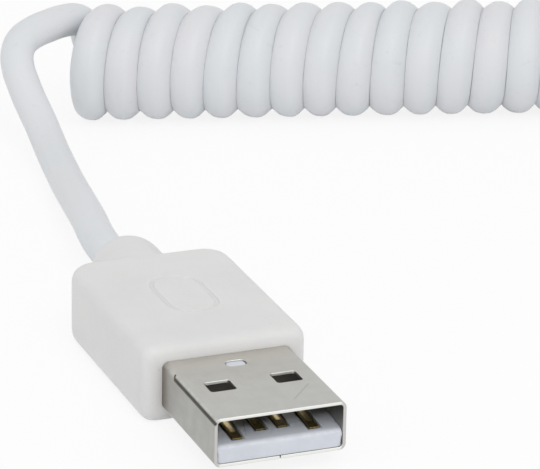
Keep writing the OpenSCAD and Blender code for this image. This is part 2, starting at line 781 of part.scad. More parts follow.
usb_a_shell();
usb_a_insulator();
a_contact(0);  // usb_a_contact_ground
a_contact(1);  // usb_a_contact_data_plus
a_contact(2);  // usb_a_contact_data_minus
a_contact(3);  // usb_a_contact_vbus
usb_a_solder_joints();
usb_a_shield_upper();
usb_a_shield_lower();
usb_a_inner_mould();
a_wire(0, "#303030");  // usb_a_wire_ground
a_wire(1, "#3f9a4f");  // usb_a_wire_data_plus
a_wire(2, "#f0f0ec");  // usb_a_wire_data_minus
a_wire(3, "#c0392b");  // usb_a_wire_vbus
usb_a_braid();
usb_a_cord_end();
usb_a_grip();
cord_tail_a();
cord_coil();
cord_tail_b();
micro_b_shell();
micro_b_insulator();
b_contact(0);  // micro_b_contact_vbus
b_contact(1);  // micro_b_contact_data_minus
b_contact(2);  // micro_b_contact_data_plus
b_contact(3);  // micro_b_contact_id
b_contact(4);  // micro_b_contact_ground
b_latch(-1);  // micro_b_latch_left
b_latch(1);  // micro_b_latch_right
micro_b_solder_joints();
micro_b_shield_upper();
micro_b_shield_lower();
micro_b_inner_mould();
b_wire(0, "#c0392b");  // micro_b_wire_vbus
b_wire(1, "#f0f0ec");  // micro_b_wire_data_minus
b_wire(2, "#3f9a4f");  // micro_b_wire_data_plus
b_wire(3, "#303030");  // micro_b_wire_ground
micro_b_braid();
micro_b_cord_end();
micro_b_grip();
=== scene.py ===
# %% [markdown]
# # A spiral charging cable
# The cable has a flat metal plug in a white moulded grip, a straight piece of cord, a coil of
# the same cord, and a smaller latched plug at the other end. The hard pieces come from an exact
# model, which is loaded first and never moved. Blender adds the spiral cord, softened edges,
# smooth grips and the finish of every surface.

# %% Load the exact model
import bmesh
import math
import bpy
from mathutils import Matrix, Vector


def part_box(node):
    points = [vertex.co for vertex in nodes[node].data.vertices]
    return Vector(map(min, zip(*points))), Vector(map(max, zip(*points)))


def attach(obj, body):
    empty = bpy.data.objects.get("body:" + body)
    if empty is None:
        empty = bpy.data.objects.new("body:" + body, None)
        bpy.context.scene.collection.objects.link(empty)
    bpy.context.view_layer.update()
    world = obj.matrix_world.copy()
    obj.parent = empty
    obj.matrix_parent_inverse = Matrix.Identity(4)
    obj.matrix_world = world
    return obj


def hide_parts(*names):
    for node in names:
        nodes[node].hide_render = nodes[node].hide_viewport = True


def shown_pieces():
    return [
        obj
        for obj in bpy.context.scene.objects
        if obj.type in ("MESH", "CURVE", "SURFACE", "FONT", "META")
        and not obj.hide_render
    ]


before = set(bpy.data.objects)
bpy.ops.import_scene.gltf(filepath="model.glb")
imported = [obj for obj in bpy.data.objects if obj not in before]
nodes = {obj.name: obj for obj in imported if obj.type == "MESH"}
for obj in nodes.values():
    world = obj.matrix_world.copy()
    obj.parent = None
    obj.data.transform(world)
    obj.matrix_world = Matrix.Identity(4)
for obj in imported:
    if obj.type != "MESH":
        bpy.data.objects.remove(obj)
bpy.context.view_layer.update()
MM = 0.001
BODY = "cable"
bpy.ops.object.select_all(action="DESELECT")

# %% [markdown]
# ## Where the camera stands
# A product shot is taken from far away with a long lens, so that parallel edges stay nearly
# parallel. The camera is turned from the front to the left, looks down at a shallow angle, and
# leans by one degree, as a hand-levelled camera does. The turns are made one after another with
# matrices, because each one is then a single plain number.

# %% Camera
CAMERA_TURN = -21.66
CAMERA_DOWN = 21.17
CAMERA_LEAN = 1.04
CAMERA_AT = Vector((-107.19, -286.92, 132.65)) * MM
LENS = 247.1
SENSOR_WIDTH = 36
SHIFT = (0.0074, 0.0028)


def put_in_scene(name, data):
    made = bpy.data.objects.new(name, data)
    bpy.context.collection.objects.link(made)
    return made


camera_data = bpy.data.cameras.new("camera")
camera_data.sensor_width = SENSOR_WIDTH
camera_data.lens = LENS
camera_data.shift_x, camera_data.shift_y = SHIFT
camera_data.clip_start = 0.01
camera = put_in_scene("camera", camera_data)
camera.matrix_world = (
    Matrix.Translation(CAMERA_AT)
    @ Matrix.Rotation(math.radians(CAMERA_TURN), 4, "Z")
    @ Matrix.Rotation(math.radians(90 - CAMERA_DOWN), 4, "X")
    @ Matrix.Rotation(math.radians(CAMERA_LEAN), 4, "Z")
)
bpy.context.scene.camera = camera
print("camera is", round(CAMERA_AT.length, 3), "m from the plug")

# %% [markdown]
# ## The cord's middle line
# The real cord is wound on a rod, heated and let go, so it is one helix between two straight
# tails. The line is worked out in millimetres: the near tail from listed points, the coil from
# the screw formula, and the far tail from steps past the end of the coil. The rings of a closed
# coil don't stay square to its axis: the near tail pushes them askew, and that fades along the
# coil. One smooth line through everything keeps the cord one piece.

# %% The cord's measures
CORD_R = 1.75
PRESSED_R = 1.3
COIL_R = 6.15
COIL_PITCH = 3.55
COIL_TURNS = 35.5
COIL_ANGLE = math.radians(-15.5)
COIL_START = Vector((12.35, 71.05, 0))

TAIL_A = [
    (0, 21.25, 3.7), (0, 24.5, 3.7), (0.5, 28.5, 3.5), (1.3, 33, 3.3), (2.2, 38.5, 2.9),
    (3.2, 44.5, 2.4), (4.2, 50, 2), (4.9, 54.5, 2), (5.3, 58, 2.5), (5.4, 61, 3.6),
    (5.1, 63.2, 5.1), (4.8, 64.9, 6.7), (4.65, 66.2, 8.1), (4.95, 67.3, 9.3),
    (5.8, 68.4, 10.1), (7.3, 69.4, 10.6), (9.3, 70.5, 10.8), (11.4, 71.7, 10.8),
    (13.4, 72.8, 10.4), (14.6, 73.75, 9.3),
]
TAIL_B_STEPS = [
    (-0.7, -5.4, 0), (-1.8, -9.3, 0), (-3.9, -12.7, 0), (-6.9, -15.3, 0), (-10.6, -17, 0.1),
    (-14.6, -17.6, 0.4), (-18.5, -17.6, 1), (-22, -17.6, 1.5), (-25, -17.6, 1.75),
    (-28, -17.6, 1.75),
]
print("coil:", COIL_TURNS, "turns,", round(COIL_TURNS * COIL_PITCH, 1), "mm long")


# %% How far the rings stand askew, and how much the pressing has thinned the cord
SKEW_NEAR = math.radians(16.3)
SKEW_FAR = math.radians(3)
SKEW_FADE = (6, 20)
PRESS_FADE = (0.1, 0.6)


def flat_direction(angle):
    return Vector((math.cos(angle), math.sin(angle), 0))


def ramp(value, low, high):
    """Goes smoothly from 0 at low to 1 at high."""
    share = max(0.0, min(1.0, (value - low) / (high - low)))
    return share * share * (3 - 2 * share)


def ring_skew(turn):
    return SKEW_NEAR + (SKEW_FAR - SKEW_NEAR) * ramp(turn, *SKEW_FADE)


def ring_angle(turn):
    """Where the ring at this turn faces, turned from +X."""
    return COIL_ANGLE - ring_skew(turn)


def pressed(turn):
    return ramp(turn, *PRESS_FADE) * ramp(COIL_TURNS - turn, *PRESS_FADE)


def half_thickness(turn):
    return CORD_R + (PRESSED_R - CORD_R) * pressed(turn)


# %% One point of the coil
UNEVEN_HEIGHT = 0.017
UNEVEN_ALONG = 0.16
UNEVEN_RATE = 0.92 * math.pi
RING_LEAN = 0.065
FIRST_TUCK = 0.3
TUCK_START = (0.1, 0.4)
TUCK_END = (0.5, 0.95)
SWAY_RATE = 1.7


def slip(turn):
    """How far this point stands off its even place along the coil. The first foot is tucked in."""
    tuck = FIRST_TUCK * ramp(turn, *TUCK_START) * (1 - ramp(turn, *TUCK_END))
    sway = UNEVEN_ALONG * math.cos(2 * math.pi * turn) * math.sin(SWAY_RATE * turn)
    return tuck + sway * pressed(turn)


def on_coil(turn):
    """A point of the helix, counted in turns from the top of the first ring."""
    angle = 2 * math.pi * turn
    radius = COIL_R - half_thickness(turn)
    along = flat_direction(COIL_ANGLE)
    middle = COIL_START + along * COIL_PITCH * turn
    back = flat_direction(ring_angle(turn) + math.pi / 2)
    up = (COIL_R + radius * math.cos(angle)) * (
        1 + UNEVEN_HEIGHT * pressed(turn) * (1 + math.cos(angle)) / 2
        * math.cos(UNEVEN_RATE * (turn - 1))
    )
    shift = slip(turn) - RING_LEAN * (up - COIL_R)
    return middle + along * shift + back * radius * math.sin(angle) + Vector((0, 0, up))


# %% All the points that the cord passes through
POINTS_PER_TURN = 16
FIRST_ON_COIL = 0.1875
coil_turns_at = [
    step / POINTS_PER_TURN
    for step in range(int(FIRST_ON_COIL * POINTS_PER_TURN), int(COIL_TURNS * POINTS_PER_TURN) + 1)
]
coil_end = COIL_START + flat_direction(COIL_ANGLE) * COIL_PITCH * COIL_TURNS
coil_end = coil_end + Vector((0, 0, CORD_R))
route = [Vector(p) for p in TAIL_A]
route += [on_coil(turn) for turn in coil_turns_at]
route += [coil_end + Vector(step) for step in TAIL_B_STEPS]
route_turns = [0.0] * len(TAIL_A) + coil_turns_at + [COIL_TURNS] * len(TAIL_B_STEPS)
print("points on the cord:", len(route))


# %% [markdown]
# ## The cord
# A curve with a round bevel is the usual tool for a cord. Here the jacket isn't round
# everywhere: neighbouring turns press on each other, so their sides are flat where they touch,
# heat has made them stick there, and the cord is a little wider than it is thick. So a Bezier
# curve only smooths the line, and the skin is a mesh, one ring of points for each step along
# it. The rings also give the cord a UV map, round it and along it, for a finish that follows
# the spiral.

# %% Smooth the line with a Bezier curve
STEPS_BETWEEN_POINTS = 3


def smoothed(points):
    curve = bpy.data.curves.new("route", "CURVE")
    curve.dimensions = "3D"
    spline = curve.splines.new("BEZIER")
    spline.bezier_points.add(len(points) - 1)
    for knot, place in zip(spline.bezier_points, points):
        knot.co = place
        knot.handle_left_type = knot.handle_right_type = "AUTO"
    spline.resolution_u = STEPS_BETWEEN_POINTS
    holder = put_in_scene("route", curve)
    line = [v.co.copy() for v in holder.to_mesh().vertices]
    bpy.data.objects.remove(holder)
    return line


def in_between(values, steps):
    """The same values, with steps - 1 even ones between each two."""
    fine = []
    for a, b in zip(values, values[1:]):
        fine += [a + (b - a) * k / steps for k in range(steps)]
    return fine + [values[-1]]


cord_line = smoothed(route)
cord_turns = in_between(route_turns, STEPS_BETWEEN_POINTS)
cord_length = sum((b - a).length for a, b in zip(cord_line, cord_line[1:]))
print("steps along the cord:", len(cord_line), "length", round(cord_length * MM, 3), "m")

# %% The jacket's outline, round on the tails and pressed flat in the coil
SPREAD_R = 1.95
FREE_SPREAD = 0.3
FREE_FADE = (0.55, 0.8)
JOIN_FADE = (0.7, 1.3)
TOUCH_GAP = 0.001
TOUCH_HEIGHT = 0.36
TOUCH_DEPTH = 1.05
LOBE_WIDE = 2.6
LOBE_SOFT = 1.25
WIDEST_TOUCH = 0.99
corner = math.acos(COIL_PITCH / 2 / SPREAD_R)
past_corner = [corner + (math.pi / 2 - corner) * k / 6 for k in (0, 0.4, 1, 2, 3, 4, 5)]
quarter = [0, corner / 2] + past_corner
around = [side * math.pi / 2 + a for side in (0, 2) for a in quarter]
around += [side * math.pi / 2 - a for side in (2, 4) for a in quarter[1:]]
around = sorted(around + [math.pi / 2, 3 * math.pi / 2])


def outline(turn, side, out):
    """The jacket's outline at this turn, as (along the coil, out from its axis).

    On each side the neighbouring ring is some way off, and raised a little, because the rings
    lean. The two meet half way, at the same height, and heat has made them stick there, so the
    groove between them is a soft valley. The inner side lay on the rod and is flatter.
    """
    half = half_thickness(turn)
    to_last = on_coil(turn - 1) - on_coil(turn)
    to_next = on_coil(turn + 1) - on_coil(turn)
    from_end = COIL_TURNS - turn
    free_r = CORD_R + FREE_SPREAD * ramp(turn, *FREE_FADE) * ramp(from_end, *FREE_FADE)
    points = []
    for angle in around:
        wide, high = math.cos(angle), math.sin(angle)
        neighbour = to_next if wide > 0 else to_last
        share = pressed(turn) * ramp(from_end if wide > 0 else turn, *JOIN_FADE)
        limit = abs(neighbour.dot(side)) / 2 - TOUCH_GAP
        lift = neighbour.dot(out) / 2
        edge = math.sqrt(1 - min(WIDEST_TOUCH, limit / SPREAD_R) ** 2)
        across = max(-limit, min(limit, SPREAD_R * wide))
        if abs(high) < edge:
            joined = lift + (TOUCH_HEIGHT if high > 0 else TOUCH_DEPTH) * high / edge
        else:
            way = math.copysign(1, high)
            touch = TOUCH_HEIGHT + lift if high > 0 else TOUCH_DEPTH - lift
            lobe = (1 - abs(across / limit) ** LOBE_WIDE) ** LOBE_SOFT
            joined = way * (touch + (half - touch) * lobe)
        points.append((free_r * wide + (across - free_r * wide) * share,
                       half * high + (joined - half * high) * share))
    return points


print("points in one outline:", len(around))


# %% Which way the outline faces at each step
def square_to(direction, heading):
    return (direction - heading * direction.dot(heading)).normalized()


headings = [
    (cord_line[min(i + 1, len(cord_line) - 1)] - cord_line[max(i - 1, 0)]).normalized()
    for i in range(len(cord_line))
]
first = len(TAIL_A) * STEPS_BETWEEN_POINTS
last = len(cord_line) - 1 - len(TAIL_B_STEPS) * STEPS_BETWEEN_POINTS
sides = [None] * len(cord_line)
for i in range(first, last + 1):
    sides[i] = square_to(flat_direction(ring_angle(cord_turns[i])), headings[i])
for i in range(first - 1, -1, -1):
    sides[i] = square_to(sides[i + 1], headings[i])
for i in range(last + 1, len(cord_line)):
    sides[i] = square_to(sides[i - 1], headings[i])
print("coil steps:", first, "to", last)


# %% The cord's skin
def sweep(name, line, sides, headings, turns):
    count = len(around)
    points, faces, wraps = [], [], []
    travelled = 0.0
    for i, middle in enumerate(line):
        out = sides[i].cross(headings[i])
        points += [(middle + sides[i] * u + out * v) * MM
                   for u, v in outline(turns[i], sides[i], out)]
    for i in range(len(line) - 1):
        step = (line[i + 1] - line[i]).length
        for k in range(count):
            n = (k + 1) % count
            faces.append((i * count + k, (i + 1) * count + k, (i + 1) * count + n, i * count + n))
            a, b = k / count, (k + 1) / count
            wraps += [(a, travelled), (a, travelled + step), (b, travelled + step), (b, travelled)]
        travelled += step
    faces.append(tuple(range(count)))
    faces.append(tuple((len(line) - 1) * count + k for k in reversed(range(count))))
    wraps += [(0, 0)] * count + [(0, travelled)] * count
    mesh = bpy.data.meshes.new(name)
    mesh.from_pydata(points, [], faces)
    layer = mesh.uv_layers.new(name="along_cord")
    for loop, (u, v) in zip(layer.data, wraps):
        loop.uv = (u, v)
    return put_in_scene(name, mesh)


cord = sweep("spiral_cord", cord_line, sides, headings, cord_turns)
print("cord faces:", len(cord.data.polygons))


# %% [markdown]
# ## Working on one plug at a time
# Both plugs are only a few millimetres high, and Blender's merge and bevel tools are happier
# with larger numbers. So every plug piece is modelled in millimetres, in the plug's own frame:
# its open end is at y = 0, its cord leaves along +Y, and z = 0 is the table. When it is done,
# one matrix scales it down, turns it and puts it where the exact model has that plug.

# %% Where the plugs are
a_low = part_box("usb_a_shell")[0]
b_low, b_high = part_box("micro_b_shell")
PLUG_A = Matrix.Scale(MM, 4) @ Matrix.Translation((0, a_low.y / MM, 0))
PLUG_B = (
    Matrix.Scale(MM, 4)
    @ Matrix.Translation((b_low.x / MM, (b_low.y + b_high.y) / 2 / MM, 0))
    @ Matrix.Rotation(math.radians(-90), 4, "Z")
)


def box_of(points):
    """The lowest and the highest corner of the box round some points."""
    low = Vector([min(point[i] for point in points) for i in range(3)])
    high = Vector([max(point[i] for point in points) for i in range(3)])
    return low, high


def box_in_plug(node, plug):
    """A node's lowest and highest corners, in millimetres in its plug's own frame."""
    return box_of([plug.inverted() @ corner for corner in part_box(node)])


for node, plug in (("usb_a_grip", PLUG_A), ("micro_b_grip", PLUG_B)):
    low, high = box_in_plug(node, plug)
    print(node, "size in mm:", [round(v, 2) for v in high - low])


# %% Tools for modelling by hand
WELD_WITHIN = 0.002
SMOOTH_UNDER = 40
CORD_SMOOTH_UNDER = 60


def pick(piece):
    bpy.ops.object.select_all(action="DESELECT")
    piece.select_set(True)
    bpy.context.view_layer.objects.active = piece


def start_editing(piece):
    pick(piece)
    bpy.ops.object.mode_set(mode="EDIT")


def stop_editing():
    bpy.ops.object.mode_set(mode="OBJECT")


def select_edges(piece, wanted):
    """Selects the edges whose two ends pass the test, in edit mode."""
    bpy.ops.mesh.select_mode(type="EDGE")
    bpy.ops.mesh.select_all(action="DESELECT")
    mesh = bmesh.from_edit_mesh(piece.data)
    for edge in mesh.edges:
        edge.select_set(wanted(edge.verts[0].co, edge.verts[1].co))
    bmesh.update_edit_mesh(piece.data)


def near(a, b):
    return abs(a - b) < 0.001


def fixed_in_place():
    """The piece that was added last, with its place, turn and size written into its mesh."""
    bpy.ops.object.transform_apply(location=True, rotation=True, scale=True)
    return bpy.context.object


def add_box(name, low, high):
    """A box between two corners, with its place in its mesh."""
    low, high = Vector(low), Vector(high)
    bpy.ops.object.select_all(action="DESELECT")
    bpy.ops.mesh.primitive_cube_add(size=1, location=(low + high) / 2)
    piece = bpy.context.object
    piece.name = piece.data.name = name
    piece.scale = high - low
    return fixed_in_place()


def apply_modifier(piece, kind, **settings):
    change = piece.modifiers.new(kind.lower(), kind)
    for key, value in settings.items():
        setattr(change, key, value)
    bpy.context.view_layer.objects.active = piece
    bpy.ops.object.modifier_apply(modifier=change.name)


def combine(piece, tool, operation):
    """Cuts a tool out of a piece, or adds it, and throws the tool away."""
    apply_modifier(piece, "BOOLEAN", operation=operation, object=tool, solver="EXACT")
    bpy.data.objects.remove(tool)


def weld(piece):
    """Merges the points that a cut has left almost on top of each other."""
    start_editing(piece)
    bpy.ops.mesh.select_all(action="SELECT")
    bpy.ops.mesh.remove_doubles(threshold=WELD_WITHIN)
    bpy.ops.mesh.dissolve_degenerate(threshold=WELD_WITHIN)
    stop_editing()


def round_edges(piece, wanted, radius, segments):
    start_editing(piece)
    select_edges(piece, wanted)
    bpy.ops.mesh.bevel(offset=radius, segments=segments, affect="EDGES")
    stop_editing()


def smooth(piece, angle=SMOOTH_UNDER):
    pick(piece)
    bpy.ops.object.shade_smooth_by_angle(angle=math.radians(angle))


def finish_piece(piece, plug, slot, *replaced):
    """Puts a plug piece in place, on its body, for the nodes that it stands for."""
    piece.data.transform(plug)
    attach(piece, BODY)
    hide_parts(*replaced)
    print(piece.name, "faces:", len(piece.data.polygons))
    return piece


smooth(cord, CORD_SMOOTH_UNDER)

# %% [markdown]
# ## The moulded grips
# A grip is one injection moulding over the plug's metal and the end of the cord: a block with
# soft corners that runs into a round collar. Its corners have different radii, so they are
# bevelled one set after another. The collar is a circle that is extruded and drawn in to a
# dome. A boolean joins the two with a hard line, which no moulding has, so a voxel remesh makes
# one even skin of them and a smoothing pass draws the small fillet where they meet. The pockets
# for the metal come last, because they stay sharp.


# %% The block
def grip_block(name, width, height, front, length, front_r, rear_r, edge_r):
    rear = front + length
    block = add_box(name, (-width / 2, front, 0), (width / 2, rear, height))

    def upright(a, b, y):
        return near(a.x, b.x) and near(a.y, b.y) and near(a.y, y)

    round_edges(block, lambda a, b: upright(a, b, front), front_r, 6)
    round_edges(block, lambda a, b: upright(a, b, rear), rear_r, 10)
    for level in (0, height):
        round_edges(block, lambda a, b: near(a.z, level) and near(b.z, level), edge_r, 8)
    return block


# %% The collar, domed down to the cord
def grip_collar(start, end, radius, mouth_r, middle):
    bpy.ops.object.select_all(action="DESELECT")
    bpy.ops.mesh.primitive_circle_add(
        vertices=48, radius=radius, fill_type="NGON",
        location=(0, start, middle), rotation=(math.radians(-90), 0, 0),
    )
    collar = fixed_in_place()
    widest = math.acos(mouth_r / radius)
    dome = radius * math.sin(widest)
    stations = [(end - dome, radius)]
    for k in range(1, 9):
        angle = widest * k / 8
        stations.append((end - dome + radius * math.sin(angle), radius * math.cos(angle)))
    start_editing(collar)
    bpy.ops.mesh.select_all(action="SELECT")
    y, r = start, radius
    for next_y, next_r in stations:
        bpy.ops.mesh.extrude_region_move(TRANSFORM_OT_translate={"value": (0, next_y - y, 0)})
        share = next_r / r
        bpy.ops.transform.resize(value=(share, 1, share), center_override=(0, next_y, middle))
        y, r = next_y, next_r
    bpy.ops.mesh.select_all(action="SELECT")
    bpy.ops.mesh.normals_make_consistent(inside=False)
    stop_editing()
    return collar


# %% The plain oblong groove on top, which marks the upper side
MARK_L = 9
MARK_W = 5
MARK_DEPTH = 0.18
MARK_LINE_W = 0.5
MARK_TOOL_R = (MARK_LINE_W ** 2 / 4 + MARK_DEPTH ** 2) / (2 * MARK_DEPTH)


def mark_tool(y, top):
    """A round bar bent to an oblong ring, sunk into the top by the groove's depth."""
    bpy.ops.object.select_all(action="DESELECT")
    bpy.ops.mesh.primitive_torus_add(
        major_radius=(MARK_W - MARK_LINE_W) / 2, minor_radius=MARK_TOOL_R,
        major_segments=64, minor_segments=24,
        location=(0, 0, 0), rotation=(0, 0, math.radians(360 / 128)),
    )
    tool = fixed_in_place()
    reach = (MARK_L - MARK_W) / 2
    for end in (-1, 1):
        start_editing(tool)
        bpy.ops.mesh.select_mode(type="VERT")
        bpy.ops.mesh.select_all(action="DESELECT")
        mesh = bmesh.from_edit_mesh(tool.data)
        for v in mesh.verts:
            v.select_set(v.co.y * end > 0)
        bmesh.update_edit_mesh(tool.data)
        bpy.ops.transform.translate(value=(0, end * reach, 0))
        stop_editing()
    tool.data.transform(Matrix.Translation((0, y, top + MARK_TOOL_R - MARK_DEPTH)))
    return tool


# %% Pockets for the shell, the shield can and the cord
def bar_tool(start, end, radius, middle):
    bpy.ops.object.select_all(action="DESELECT")
    bpy.ops.mesh.primitive_cylinder_add(
        vertices=48, radius=radius, depth=end - start,
        location=(0, (start + end) / 2, middle), rotation=(math.radians(90), 0, 0),
    )
    return fixed_in_place()


def pocket_tool(low, high, edge_r):
    tool = add_box("pocket", low, high)
    round_edges(tool, lambda a, b: near(a.x, b.x) and near(a.z, b.z), edge_r, 4)
    return tool


# %% One whole grip
SKIN_VOXEL = 0.3
FILLET_PASSES = 8
CORD_HOLE_R = 1.75
MOUTH_RIM = 0.2
COLLAR_SHORT = 0.6
BRAID_ROOM_R = 2.15
BRAID_ROOM_L = 4.3


def moulded_grip(name, plug, prefix, pocket_radii, collar_l, collar_r, corner_radii):
    """A grip fitted to the boxes of its node and of the metal inside it."""
    low, high = box_in_plug(prefix + "_grip", plug)
    shell_low, shell_high = box_in_plug(prefix + "_shell", plug)
    can_low, can_high = box_in_plug(prefix + "_shield_upper", plug)
    width, height, middle = high.x - low.x, high.z, high.z / 2
    front, end = low.y, high.y
    block_end = end - collar_l
    piece = grip_block(name, width, height, front, block_end - front, *corner_radii)
    collar = grip_collar(block_end - corner_radii[1], end - COLLAR_SHORT, collar_r,
                         CORD_HOLE_R + MOUTH_RIM, middle)
    combine(piece, collar, "UNION")
    apply_modifier(piece, "REMESH", mode="VOXEL", voxel_size=SKIN_VOXEL)
    apply_modifier(piece, "SMOOTH", factor=0.5, iterations=FILLET_PASSES)
    apply_modifier(piece, "SUBSURF", levels=1, render_levels=1)
    shell_r, can_r = pocket_radii
    shell_room = pocket_tool((shell_low.x, front - 1, shell_low.z),
                             (shell_high.x, can_low.y + 0.1, shell_high.z), shell_r)
    can_room = pocket_tool((can_low.x, can_low.y, 2 * middle - can_high.z), can_high, can_r)
    cord_room = bar_tool(can_high.y - 0.1, end + 1, CORD_HOLE_R, middle)
    braid_room = bar_tool(can_high.y - 0.05, can_high.y + BRAID_ROOM_L, BRAID_ROOM_R, middle)
    mark = mark_tool((front + block_end) / 2, height)
    for tool in (shell_room, can_room, cord_room, braid_room, mark):
        combine(piece, tool, "DIFFERENCE")
    weld(piece)
    smooth(piece)
    return finish_piece(piece, plug, "grip_plastic", prefix + "_grip")


grip_a = moulded_grip("grip_moulding_a", PLUG_A, "usb_a", pocket_radii=(0.6, 0.85),
                      collar_l=7.6, collar_r=3.6, corner_radii=(1.2, 2.5, 1.2))
grip_b = moulded_grip("grip_moulding_b", PLUG_B, "micro_b", pocket_radii=(0.4, 0.8),
                      collar_l=8, collar_r=3.2, corner_radii=(1.2, 2.3, 1.2))

# %% [markdown]
# ## Softened copies of the small hard pieces
# Sheet metal that is cut and folded has no sharp edge: every rim catches a thin line of light.
# The exact model's edges are perfectly sharp. Modelling each piece again would risk moving a
# hole, so these pieces start as copies of the exact meshes. Such a mesh is loose triangles:
# they are merged, flat areas become single faces, and a small bevel rounds each sharp edge.


# %% A softened copy
FLAT_WITHIN = math.radians(1)
BEVEL_OVER = math.radians(35)


def softened(name, node, body, width, segments=2, reshape=None):
    mesh = nodes[node].data.copy()
    mesh.name = name
    piece = put_in_scene(name, mesh)
    mesh.transform(Matrix.Scale(1 / MM, 4))
    start_editing(piece)
    bpy.ops.mesh.select_all(action="SELECT")
    bpy.ops.mesh.remove_doubles(threshold=WELD_WITHIN)
    bpy.ops.mesh.dissolve_limited(angle_limit=FLAT_WITHIN)
    stop_editing()
    if reshape:
        reshape(piece)
    smooth(piece)
    apply_modifier(piece, "BEVEL", width=width, segments=segments, limit_method="ANGLE",
                   angle_limit=BEVEL_OVER, use_clamp_overlap=False,
                   miter_outer="MITER_ARC")
    if reshape:
        weld(piece)
    apply_modifier(piece, "WEIGHTED_NORMAL", keep_sharp=True)
    piece.data.materials.clear()
    piece.data.transform(Matrix.Scale(MM, 4))
    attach(piece, body)
    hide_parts(node)
    print(name, "faces:", len(piece.data.polygons))
    return piece


# %% [markdown]
# ### The nose of the tongue
# The near plug's tongue gets thinner towards its front and ends in a soft round edge, which
# leads the socket's own tongue in. The contacts follow the slope, and each one stops a little
# behind the edge, in a shallow channel. The exact model keeps a straight tongue. Here its front
# is cut off square, and so are the contacts, and bars that run downhill take their place.

# %% A bar that runs downhill
NOSE_FRONT = -21.17
NOSE_BACK = -16.4
NOSE_HALF_W = 5.68
NOSE_CORNER_R = 0.45
NOSE_EDGE_R = 0.58
DOWNHILL = 0.078
CONTACT_STANDS = 0.06
CHANNEL_SIDE = 0.15
TIP_FORWARD = 0.45
OLD_FRONT = ((-7, -22, 0), (7, NOSE_BACK - 0.02, 7))
tongue_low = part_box("usb_a_insulator")[0] / MM
contact_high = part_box("usb_a_contact_vbus")[1] / MM
tongue_top = contact_high.z - CONTACT_STANDS


def sloping_bar(name, middle, half_w, front, low, high, flat_under=False):
    """A bar from the nose's back to its front end, which is lower; its under side can be flat."""
    bar = add_box(name, (middle - half_w, front, low), (middle + half_w, NOSE_BACK, high))
    start_editing(bar)
    select_edges(bar, lambda a, b: near(a.y, front) and near(b.y, front)
                 and not (flat_under and (near(a.z, low) or near(b.z, low))))
    bpy.ops.transform.translate(value=(0, 0, -DOWNHILL * (NOSE_BACK - front)))
    stop_editing()
    return bar


def cut_front_off(piece):
    combine(piece, add_box("front", *OLD_FRONT), "DIFFERENCE")


# %% The tongue's new nose, and the contacts' new ends
def tongue_nose(piece):
    cut_front_off(piece)
    nose = sloping_bar("nose", 0, NOSE_HALF_W, NOSE_FRONT, tongue_low.z, tongue_top, True)
    edge = tongue_top - DOWNHILL * (NOSE_BACK - NOSE_FRONT)
    round_edges(nose, lambda a, b: near(a.z, edge) and near(b.z, edge), NOSE_EDGE_R, 6)
    round_edges(nose, lambda a, b: near(a.x, b.x) and near(a.y, b.y) and near(a.y, NOSE_FRONT),
                NOSE_CORNER_R, 6)
    combine(piece, nose, "UNION")
    for node in sorted(nodes):
        if node.startswith("usb_a_contact_"):
            low, high = (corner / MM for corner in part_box(node))
            half_w = (high.x - low.x) / 2 + CHANNEL_SIDE
            channel = sloping_bar("channel", (low.x + high.x) / 2, half_w,
                                  low.y - TIP_FORWARD - CHANNEL_SIDE, low.z, high.z + 1)
            combine(piece, channel, "DIFFERENCE")


def contact_tip(piece):
    low, high = box_of(piece.bound_box)
    cut_front_off(piece)
    tip = sloping_bar("tip", (low.x + high.x) / 2, (high.x - low.x) / 2, low.y - TIP_FORWARD,
                      low.z, high.z)
    combine(piece, tip, "UNION")


print("the tongue's front edge is", round(DOWNHILL * (NOSE_BACK - NOSE_FRONT), 2), "mm lower")


# %% The softened pieces
shell_a = softened("shell_a", "usb_a_shell", BODY, 0.05)
insulator_a = softened("insulator_a", "usb_a_insulator", BODY, 0.06,
                       reshape=tongue_nose)
shell_b = softened("shell_b", "micro_b_shell", BODY, 0.04)
insulator_b = softened("insulator_b", "micro_b_insulator", BODY, 0.03)
latches = [
    softened("hook_" + side, "micro_b_latch_" + side, "latch_" + side, 0.03)
    for side in ("left", "right")
]
contacts = [
    softened(node.replace("usb_a_", "").replace("micro_b_", "small_"), node, BODY,
             0.12 if node.startswith("usb") else 0.03, segments=3,
             reshape=contact_tip if node.startswith("usb") else None)
    for node in sorted(nodes) if "_contact_" in node
]

# %% [markdown]
# ## The cord on its body
# The cord rides on the body that both plugs are part of. It stands for three solids of the
# exact model: the two tails and the coil.

# %% The cord and what is on it
far_pieces = [grip_b, shell_b, insulator_b] + latches
far_pieces += [c for c in contacts if c.name.startswith("small_")]
far_pieces += [
    nodes[n] for n in sorted(nodes) if n.startswith("micro_b_") and not nodes[n].hide_render
]
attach(cord, BODY)
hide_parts("cord_tail_a", "cord_coil", "cord_tail_b")
print("pieces on the far end:", len(far_pieces))


# %% [markdown]
# ## Finishes from nodes
# The cable has about a dozen real materials, and none of them is one flat colour: plastic has
# patches and a moulded grain, plated steel has fine lines from the rolling, worn edges and
# finger marks. Painted images could show that, but they stretch and need files. Node trees work
# the same at any size, so every finish here is built from nodes on Object coordinates. The
# helpers below keep each tree short: one adds a node and feeds it, the others do sums.


# %% Helpers for node trees
def add_node(tree, kind, feeds=None, **settings):
    """Adds a node. Feeds maps its inputs to numbers, colours or other nodes' outputs."""
    made = tree.nodes.new("ShaderNode" + kind)
    for key, value in settings.items():
        setattr(made, key, value)
    for socket, value in (feeds or {}).items():
        if isinstance(value, bpy.types.NodeSocket):
            tree.links.new(value, made.inputs[socket])
        else:
            made.inputs[socket].default_value = value
    return made


def calc(tree, operation, *values):
    return add_node(tree, "Math", dict(enumerate(values)), operation=operation).outputs[0]


def calc_vector(tree, operation, *values):
    made = add_node(tree, "VectorMath", dict(enumerate(values)), operation=operation)
    return made.outputs["Value" if operation in ("LENGTH", "DOT_PRODUCT") else "Vector"]


